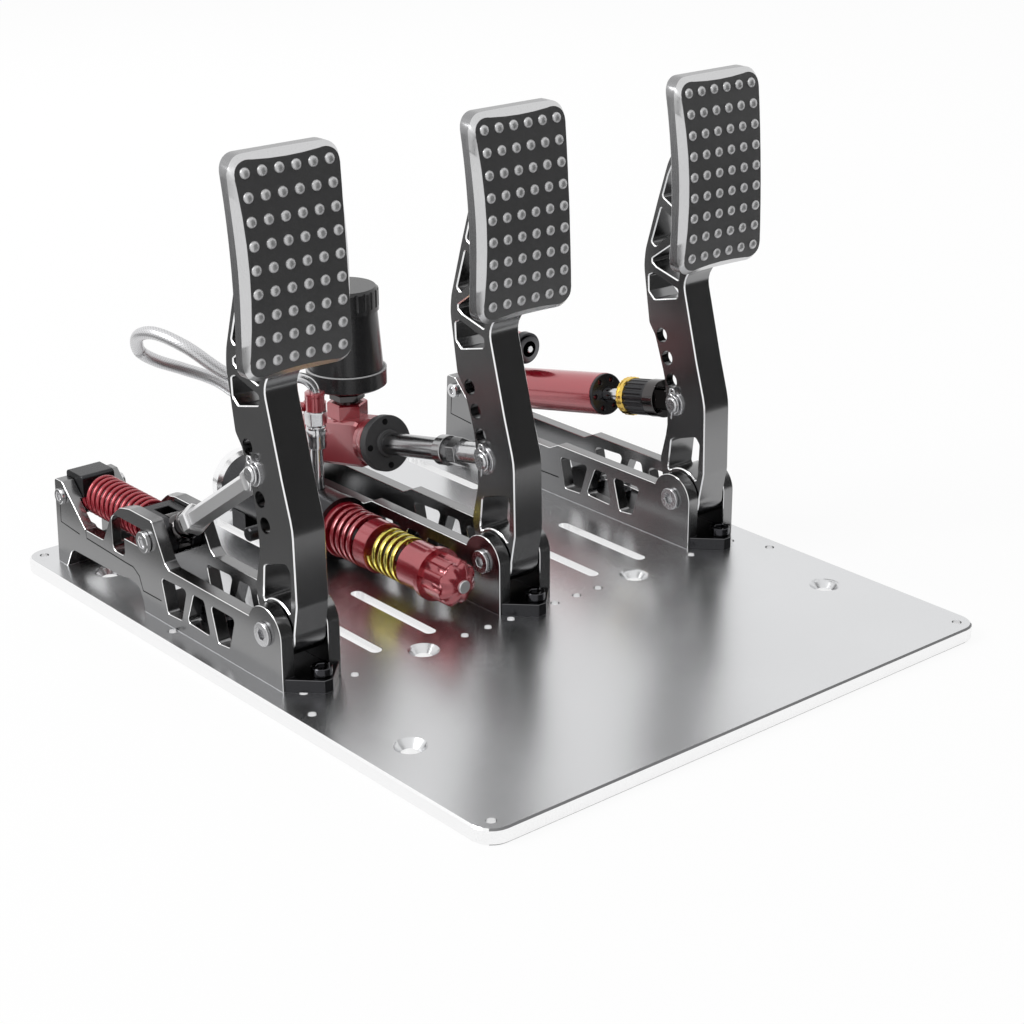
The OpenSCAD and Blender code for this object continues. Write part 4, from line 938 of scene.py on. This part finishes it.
class PEDALS_OT_pads(PieceOperator, bpy.types.Operator):
    """Pads that slope away round their black treads, and rows of round studs"""

    bl_idname = "pedals.pads"
    bl_label = "Pads and treads"

    columns, rows = 6, 9
    column_pitch, row_pitch = 11.1, 13.1
    top_row = 77
    # Bare rim beside the tread's corners, and how far the tread draws in at its sides, top and foot
    rim, waist, dip, rise = 1.1, 3.45, 3.0, 3.5
    end_inset = 1.2
    tread_corner, pad_corner = 9.0, 10.0
    slope_sunk, face_sunk, stud_sunk = 0.15, 0.3, 0.1
    back_round = 0.8

    def execute(self, context):
        for pedal in PEDALS:
            x = STATION_X[pedal]
            body = f"{pedal}_pedal"
            add_object(f"{pedal}_pad_sloped", self.shell(x), body, ["Pad metal", "Pad slope"], "pad_metal",
                       f"{pedal}_pad")
            cad_copy(f"{pedal}_tread", f"{pedal}_tread_grit", "Grit tread", "tread")
            add_object(f"{pedal}_studs", self.studs(x), body, "Stud steel", "steel")
        return {"FINISHED"}

    @staticmethod
    def on_face(x, spots, radius):
        """Places across and up from a pad's middle, on a cylinder about the line that all pads share."""
        depth = PAD_CENTRE[0] - np.sqrt(radius ** 2 - spots[:, 1] ** 2)
        return np.column_stack([x + spots[:, 0], depth, PAD_CENTRE[1] + spots[:, 1]]) * MM

    def outline(self, rim, waist, dip, rise, corner):
        """Round a pad's front from its lower right: sides and ends that draw in as parabolas, joined at the
        corners by quarter ellipses."""
        inset = self.end_inset * (rim > 0)
        low, high = PAD_LOW + inset, PAD_HIGH - inset
        middle, reach = (PAD_LOW + PAD_HIGH) / 2, (PAD_HIGH - PAD_LOW) / 2
        h = np.linspace(low + corner, high - corner, 40)
        side = np.column_stack([PAD_HALF - rim - waist * (1 - ((h - middle) / reach) ** 2), h])
        quarter = np.linspace(0, math.pi / 2, 12)

        def end(level, draw, base, wide):
            inner = wide - corner
            a = np.linspace(inner, -inner, 24)
            edge = np.column_stack([a, level + draw * (1 - (a / PAD_HALF) ** 2)])
            tall = edge[0, 1] - base
            arc = np.column_stack([inner + corner * np.cos(quarter), base + tall * np.sin(quarter)])
            return np.vstack([arc, edge, arc[::-1] * (-1, 1)])

        top = end(high, -dip, high - corner, side[-1, 0])
        foot = end(low, rise, low + corner, side[0, 0])
        return np.vstack([side, top, side[::-1] * (-1, 1), foot[::-1]])

    def shell(self, x):
        """A pad's metal. Rows run from the middle of its back to the middle of its front, and columns are
        directions round it. Between the tread's edge and the pad's outline the face slopes back at 45 degrees, and
        that slope takes a lighter copy of the pad metal as painted highlight."""
        turn = np.linspace(-math.pi, math.pi, 240, endpoint=False)
        middle = np.array((0, (PAD_LOW + PAD_HIGH) / 2))

        def along_rays(outline):
            spots = outline - middle
            around = np.arctan2(spots[:, 1], spots[:, 0])
            order = np.argsort(around)
            reach = np.interp(turn, around[order], np.hypot(*spots.T)[order], period=math.tau)
            return reach[:, None] * np.column_stack([np.cos(turn), np.sin(turn)])

        inner = along_rays(self.outline(self.rim, self.waist, self.dip, self.rise, self.tread_corner))
        outer = along_rays(self.outline(0, 0, 0, 0, self.pad_corner))
        slope = np.hypot(*(outer - inner).T)
        rows = [(outer * f, PAD_BACK_R) for f in (0.01, 0.35, 0.7, 0.985)]
        rows += [(outer, PAD_BACK_R + self.back_round), (outer, TREAD_R - self.slope_sunk - slope),
                 (inner, TREAD_R - self.slope_sunk)]
        slope_row = len(rows) - 2
        rows += [(inner * f, TREAD_R - self.face_sunk) for f in (0.99, 0.7, 0.35, 0.01)]
        points = np.stack([self.on_face(x, middle + spots, radius) for spots, radius in rows])
        mesh = grid_mesh(points)
        smooth(mesh, 32)
        index = np.zeros(len(mesh.polygons), int)
        # The slope's row gets finish 1, the lighter copy of the pad metal, as painted highlight
        index[slope_row * len(turn):(slope_row + 1) * len(turn)] = 1
        mesh.polygons.foreach_set("material_index", index)
        return mesh

    def studs(self, x):
        """Domes on a grid that follows the tread's arc. Ring r of a dome lies at foot radius times
        cos(t) and height times sin(t), for t from 0 to a quarter turn, along the arc's own normal."""
        details = detail_settings()
        t = np.radians([-4, 22, 45, 66, 89])
        dome = np.column_stack([details.stud_height * np.sin(t), details.stud_radius * np.cos(t)]) / MM
        across = (np.arange(self.columns) - (self.columns - 1) / 2) * self.column_pitch
        domes = []
        for a in (self.top_row - np.arange(self.rows) * self.row_pitch) / TREAD_R:
            out = np.array((0, -math.cos(a), math.sin(a)))
            seat = np.array((x, *PAD_CENTRE)) + out * (TREAD_R - self.stud_sunk)
            domes += [lathe(dome, seat + (c, 0, 0), out, circle(14), 60) for c in across]
        return joined(*domes)


class PEDALS_OT_turned(PieceOperator, bpy.types.Operator):
    """Rods, bolts, cylinders, collars and knobs with their finishes and chamfered edges"""

    bl_idname = "pedals.turned"
    bl_label = "Rods, cylinders and bolts"

    def execute(self, context):
        edge = finish_settings().small_edge
        for look, names in TURNED.items():
            for node, name in names.items():
                cad_copy(node, name, *look, edge)
        line = (SLAVE_X, 0, SLAVE_Z), (0, 1, 0)
        body = NODES["slave_flange"]["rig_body"]
        rim = lathe([(203, 20.9), (205.6, 23.5), (211.3, 23.5), (212, 22.8)], *line)
        add_object("slave_flange_turned", rim, body, "Bright edge", "steel", "slave_flange")
        face = lathe([(202.8, 20.2), (203.4, 20.8)], *line)
        add_object("slave_flange_face", face, body, "Grey steel", "steel")
        return {"FINISHED"}


class PEDALS_OT_pins(PieceOperator, bpy.types.Operator):
    """Link pins with their heads, washers and wire clips"""

    bl_idname = "pedals.pins"
    bl_label = "Link pins"

    pins = {"clutch": (CLUTCH_PIN, 8), "brake": (LOW_PIN, 9), "throttle": (LOW_PIN, 8)}
    pin_r, head_r, head_t, washer_t, free = 4.9, 7.5, 3, 1.5, 4.5
    clip_r, clip_gap = 0.7, 1.2
    # A clip's wire seen from the left, from the pin's middle: (Y, Z)
    clip = [(0.5, -10), (0.3, -6), (0, 0), (-0.3, 5), (-1.8, 8), (-0.8, 10.6), (2, 10.4), (2.6, 7.8), (0.8, 6.4),
            (-3.4, 5), (-5.4, 1.5), (-5.2, -2.5), (-3, -5.5)]

    def execute(self, context):
        for pedal, (place, washer_r) in self.pins.items():
            origin = (STATION_X[pedal], *place)
            left, right = -ARM_HALF, ARM_HALF
            profile = [
                (left - self.free, self.pin_r - 0.9), (left - self.free + 0.9, self.pin_r),
                (left - self.washer_t, self.pin_r), (left - self.washer_t, washer_r - 0.3),
                (left - self.washer_t + 0.3, washer_r), (left, washer_r), (left, self.pin_r),
                (right, self.pin_r), (right, self.head_r), (right + self.head_t - 0.5, self.head_r),
                (right + self.head_t, self.head_r - 0.5),
            ]
            mesh = lathe(profile, origin, (1, 0, 0))
            body = NODES[f"{pedal}_pin"]["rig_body"]
            add_object(f"{pedal}_pin_turned", mesh, body, *TURNED_STEEL, f"{pedal}_pin")
            wire = np.array([(origin[0] + left - self.washer_t - self.clip_gap, place[0] + y, place[1] + z)
                             for y, z in self.clip], float)
            mesh = tube(spline(wire * MM, 6), self.clip_r * MM * circle(8), np.array((1.0, 0, 0)), 60)
            add_object(f"{pedal}_clip", mesh, body, *POLISHED)
        return {"FINISHED"}


class PEDALS_OT_fittings(PieceOperator, bpy.types.Operator):
    """Details of the linkages and cylinders: rod nuts, the master cylinder's block, collars and knurls"""

    bl_idname = "pedals.fittings"
    bl_label = "Fittings"

    reservoir_y = 144
    inlet_y, side_plug_y = 117.5, 123
    adjuster_front = (146.5, 102)
    screw_circle = 14.8
    lobes, lobe_depth = 8, 0.06
    knurls, knurl_depth = 28, 0.012
    rod_end_edge, rod_end_reach = 0.3 * MM, 30

    def execute(self, context):
        for build in (self.clutch_rod, self.master, self.neck, self.slave, self.damper):
            build()
        return {"FINISHED"}

    @staticmethod
    def piece(name, look, like, line, *forms, nodes=()):
        """Adds forms on one line as a piece on the body of the CAD node that it is fixed to. A form is a profile
        to turn, or a pair of a profile and its outline."""
        pairs = (form if isinstance(form, tuple) else (form, ROUND) for form in forms)
        meshes = (lathe(profile, *line, outline) for profile, outline in pairs)
        return add_object(name, joined(*meshes), NODES[like]["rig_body"], *look, *nodes)

    @staticmethod
    def waved(count, depth, mean=1.0):
        """A round outline whose radius is mean + depth * cos(count * angle)."""
        return ROUND * (mean + depth * np.cos(count * np.arctan2(ROUND[:, 1], ROUND[:, 0])))[:, None]

    def clutch_rod(self):
        """A hexagon sleeve and nuts on the push rod, and the rod end below them"""
        x = STATION_X["clutch"]
        line = between(CLUTCH_PIN, TIE_BOLT, x)
        sleeve = [(23, 5.2), (24, 6.2), (99, 6.2), (100, 5.4)]
        flare = [(13.5, 8), (15, 9), (20, 9), (25, 6.5)]
        nut = [(100, 7.6), (101, 8.5), (107, 8.5), (108, 7.6)]
        self.piece("clutch_rod_sleeve", SATIN, "clutch_rod", line,
                   *((form, HEXAGON) for form in (sleeve, flare, nut)))
        away = [(-20, 100), (-20, 160), (20, 160), (95, 92.6), (68, 52.6)]
        cad_copy("clutch_rod_end", "clutch_rod_end_dark", *BLACK_CHROME, self.rod_end_edge,
                 changes=[("DIFFERENCE", prism(away, x - self.rod_end_reach, x + self.rod_end_reach))])
        neck = [(108, 6.5), (110, 8.8), (113, 9.4), (116, 8.8), (117, 7.4), (119, 7.4), (121, 9), (124, 9.8)]
        self.piece("clutch_rod_neck", BLACK_CHROME, "clutch_rod_end", line, neck)

    def master(self):
        """The master cylinder's square block, turned front and screwed flange"""
        line = origin, axis = cylinder_line("brake")
        wide, high, cut = 12.2, 15.7, 2.2
        corner = np.array([(wide, cut - high), (wide, high - cut), (wide - cut, high), (cut - wide, high)])
        block = [(32, 0.95), (33.5, 1), (90, 1), (92, 0.93)]
        turned = [(90, 14), (91.5, 15.8), (95, 15.8), (95.2, 15.2), (95.9, 15.2), (96.1, 16.4), (99, 17),
                  (101, 17), (101.2, 16.3), (101.9, 16.3), (102.1, 17.2), (103.9, 17.2)]
        self.piece("master_block", ("Crimson satin", "red_anodised"), "master_cylinder", line,
                   (block, np.vstack([corner, -corner])), turned)
        disc = [(104, 18.6), (104.4, 19), (109.5, 19), (110, 18.5), (110.05, 9.5), (112, 9.2), (112.3, 8.6)]
        self.piece("master_flange_disc", ("Black coat", "black_anodised"), "master_flange", line, disc,
                   nodes=["master_flange"])
        spots = self.screw_circle * circle(4)
        screws = [lathe([(109.6, 2.1), (110.25, 2.1), (110.3, 1.8)],
                        origin + a * np.array((1.0, 0, 0)) + b * np.cross(axis, (1.0, 0, 0)), axis, circle(20))
                  for a, b in spots]
        add_object("master_flange_screws", joined(*screws), NODES["master_flange"]["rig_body"],
                   "Groove", "black_screw")

    def neck(self):
        """The reservoir's red hexagon and ring, black sleeve and collar, its black foot band, and a grey line on
        the foot's upper edge painted as a highlight
        """
        line = (0, self.reservoir_y, 0), (0, 0, 1)
        hexagon = [(82, 6.8), (89, 6.8), (89, 11), (90, 12), (99.5, 12), (100.5, 11.2)]
        ring = [(107.5, 8), (107.5, 10.8), (108, 11.3), (111.5, 11.3), (112, 10.8)]
        self.piece("reservoir_neck_red", RED, "reservoir_neck", line, (hexagon, HEXAGON), ring,
                   nodes=["reservoir_neck"])
        self.piece("reservoir_neck_sleeve", BLACK_CHROME, "reservoir_neck", line, [(100.4, 8.4), (112.2, 8.4)])
        collar = [(101.8, 9.6), (102.4, 10.4), (106.2, 10.4), (106.8, 9.6)]
        self.piece("reservoir_neck_collar", BLACK_CHROME, "reservoir_neck", line, (collar, HEXAGON))
        band = [(112.3, 25.6), (113.5, 27.3), (124.4, 27.3), (124.8, 26)]
        self.piece("reservoir_foot", PLASTIC, "reservoir", line, band)
        # A thin grey ring over the black plastic foot's upper edge: painted highlight
        bright = [(124, 27.1), (124.1, 27.4), (124.5, 27.35), (124.7, 26.8)]
        self.piece("reservoir_foot_line", ("Grey steel", "black_plastic"), "reservoir", line, bright)

    def slave(self):
        """The preload knob's cone and end screw, the inlet's red socket and the plug on the slave's side"""
        line = (SLAVE_X, 0, SLAVE_Z), (0, -1, 0)
        cone = [(26.5, 14.9), (28.6, 14.7), (30.4, 13.3), (33.2, 8.8), (34.6, 4.9)]
        lobed = self.waved(self.lobes, -self.lobe_depth, 1 - self.lobe_depth)
        self.piece("preload_knob_cone", RED, "slave_knob", line, (cone, lobed))
        self.piece("preload_screw_end", SATIN, "slave_rod", line, [(30, 4.3), (35.9, 4.3), (36.3, 3.9)])
        line = (SLAVE_X, self.inlet_y, 0), (0, 0, 1)
        socket = [(110, 5.2), (110.5, 6.1), (120.5, 6.1), (121, 6.6), (122.6, 6.6), (123, 5.6)]
        self.piece("inlet_socket_red", RED, "slave_inlet", line, socket)
        sleeve = [(84, 5), (85, 6.7), (88, 7.1), (91, 6.7), (93, 7.1), (97, 7.1), (99, 6.2), (100.5, 5)]
        self.piece("inlet_sleeve", ("Polished steel", "steel"), "slave_inlet", line, sleeve)
        plug = [(-54, 4), (-53, 4.9), (-20, 4.9), (-20, 6.5), (-15, 6.5)]
        self.piece("slave_side_plug", BLACK, "slave_cylinder",
                   ((SLAVE_X, self.side_plug_y, SLAVE_Z), (1, 0, 0)), plug)

    def damper(self):
        """The damper's full red barrel, knurled gold ring and the adjuster's centre screw"""
        line = cylinder_line("throttle")
        barrel = [(31, 13.6), (32, 14.8), (144.3, 14.8), (144.9, 14.3), (144.9, 13.4)]
        self.piece("damper_barrel_red", RED, "throttle_damper", line, barrel)
        ring = [(169.6, 12.2), (170.2, 13.2), (171.4, 13.2), (171.7, 12.7), (172.2, 12.7), (172.5, 13.2),
                (175, 13.2), (175.6, 12.4)]
        self.piece("damper_ring_knurl", GOLD_RING, "damper_ring", line,
                   (ring, self.waved(self.knurls, self.knurl_depth)))
        line = (STATION_X["throttle"], *self.adjuster_front), (0, -1, 0)
        rings = ([(-0.2, r), (0.25, r), (0.3, r - 0.25)] for r in (9.4, 6.2))
        self.piece("adjuster_rings", ("Shaded edge", "steel"), "damper_adjuster", line, *rings)
        self.piece("adjuster_screw", POLISHED, "damper_adjuster", line, [(0, 2.4), (1.4, 2.4), (1.7, 2.1)])


class PEDALS_PT_panel(bpy.types.Panel):
    """Sidebar panel with every builder and its settings"""

    bl_idname = "PEDALS_PT_panel"
    bl_label = "Pedal Set"
    bl_space_type = "VIEW_3D"
    bl_region_type = "UI"
    bl_category = "Pedals"

    def draw(self, context):
        for operator in OPERATORS:
            self.layout.operator(operator.bl_idname)
        for group in (stage_settings(), finish_settings(), detail_settings()):
            box = self.layout.box()
            for key in group.__annotations__:
                box.prop(group, key)


GROUPS = {
    "pedal_stage": PedalStageSettings,
    "pedal_finish": PedalFinishSettings,
    "pedal_detail": PedalDetailSettings,
}
OPERATORS = (PEDALS_OT_stage, PEDALS_OT_hose, PEDALS_OT_springs, PEDALS_OT_plate, PEDALS_OT_frames,
             PEDALS_OT_pads, PEDALS_OT_turned, PEDALS_OT_pins, PEDALS_OT_fittings)


def register():
    for cls in (*GROUPS.values(), *OPERATORS, PEDALS_PT_panel):
        bpy.utils.register_class(cls)
    for name, cls in GROUPS.items():
        setattr(bpy.types.Scene, name, bpy.props.PointerProperty(type=cls))


def unregister():
    for name in GROUPS:
        delattr(bpy.types.Scene, name)
    for cls in (PEDALS_PT_panel, *reversed(OPERATORS), *reversed(list(GROUPS.values()))):
        bpy.utils.unregister_class(cls)


def main():
    """Builds every piece in order."""
    register()
    for operator in OPERATORS:
        group, name = operator.bl_idname.split(".")
        getattr(getattr(bpy.ops, group), name)()


if __name__ == "__main__":
    main()
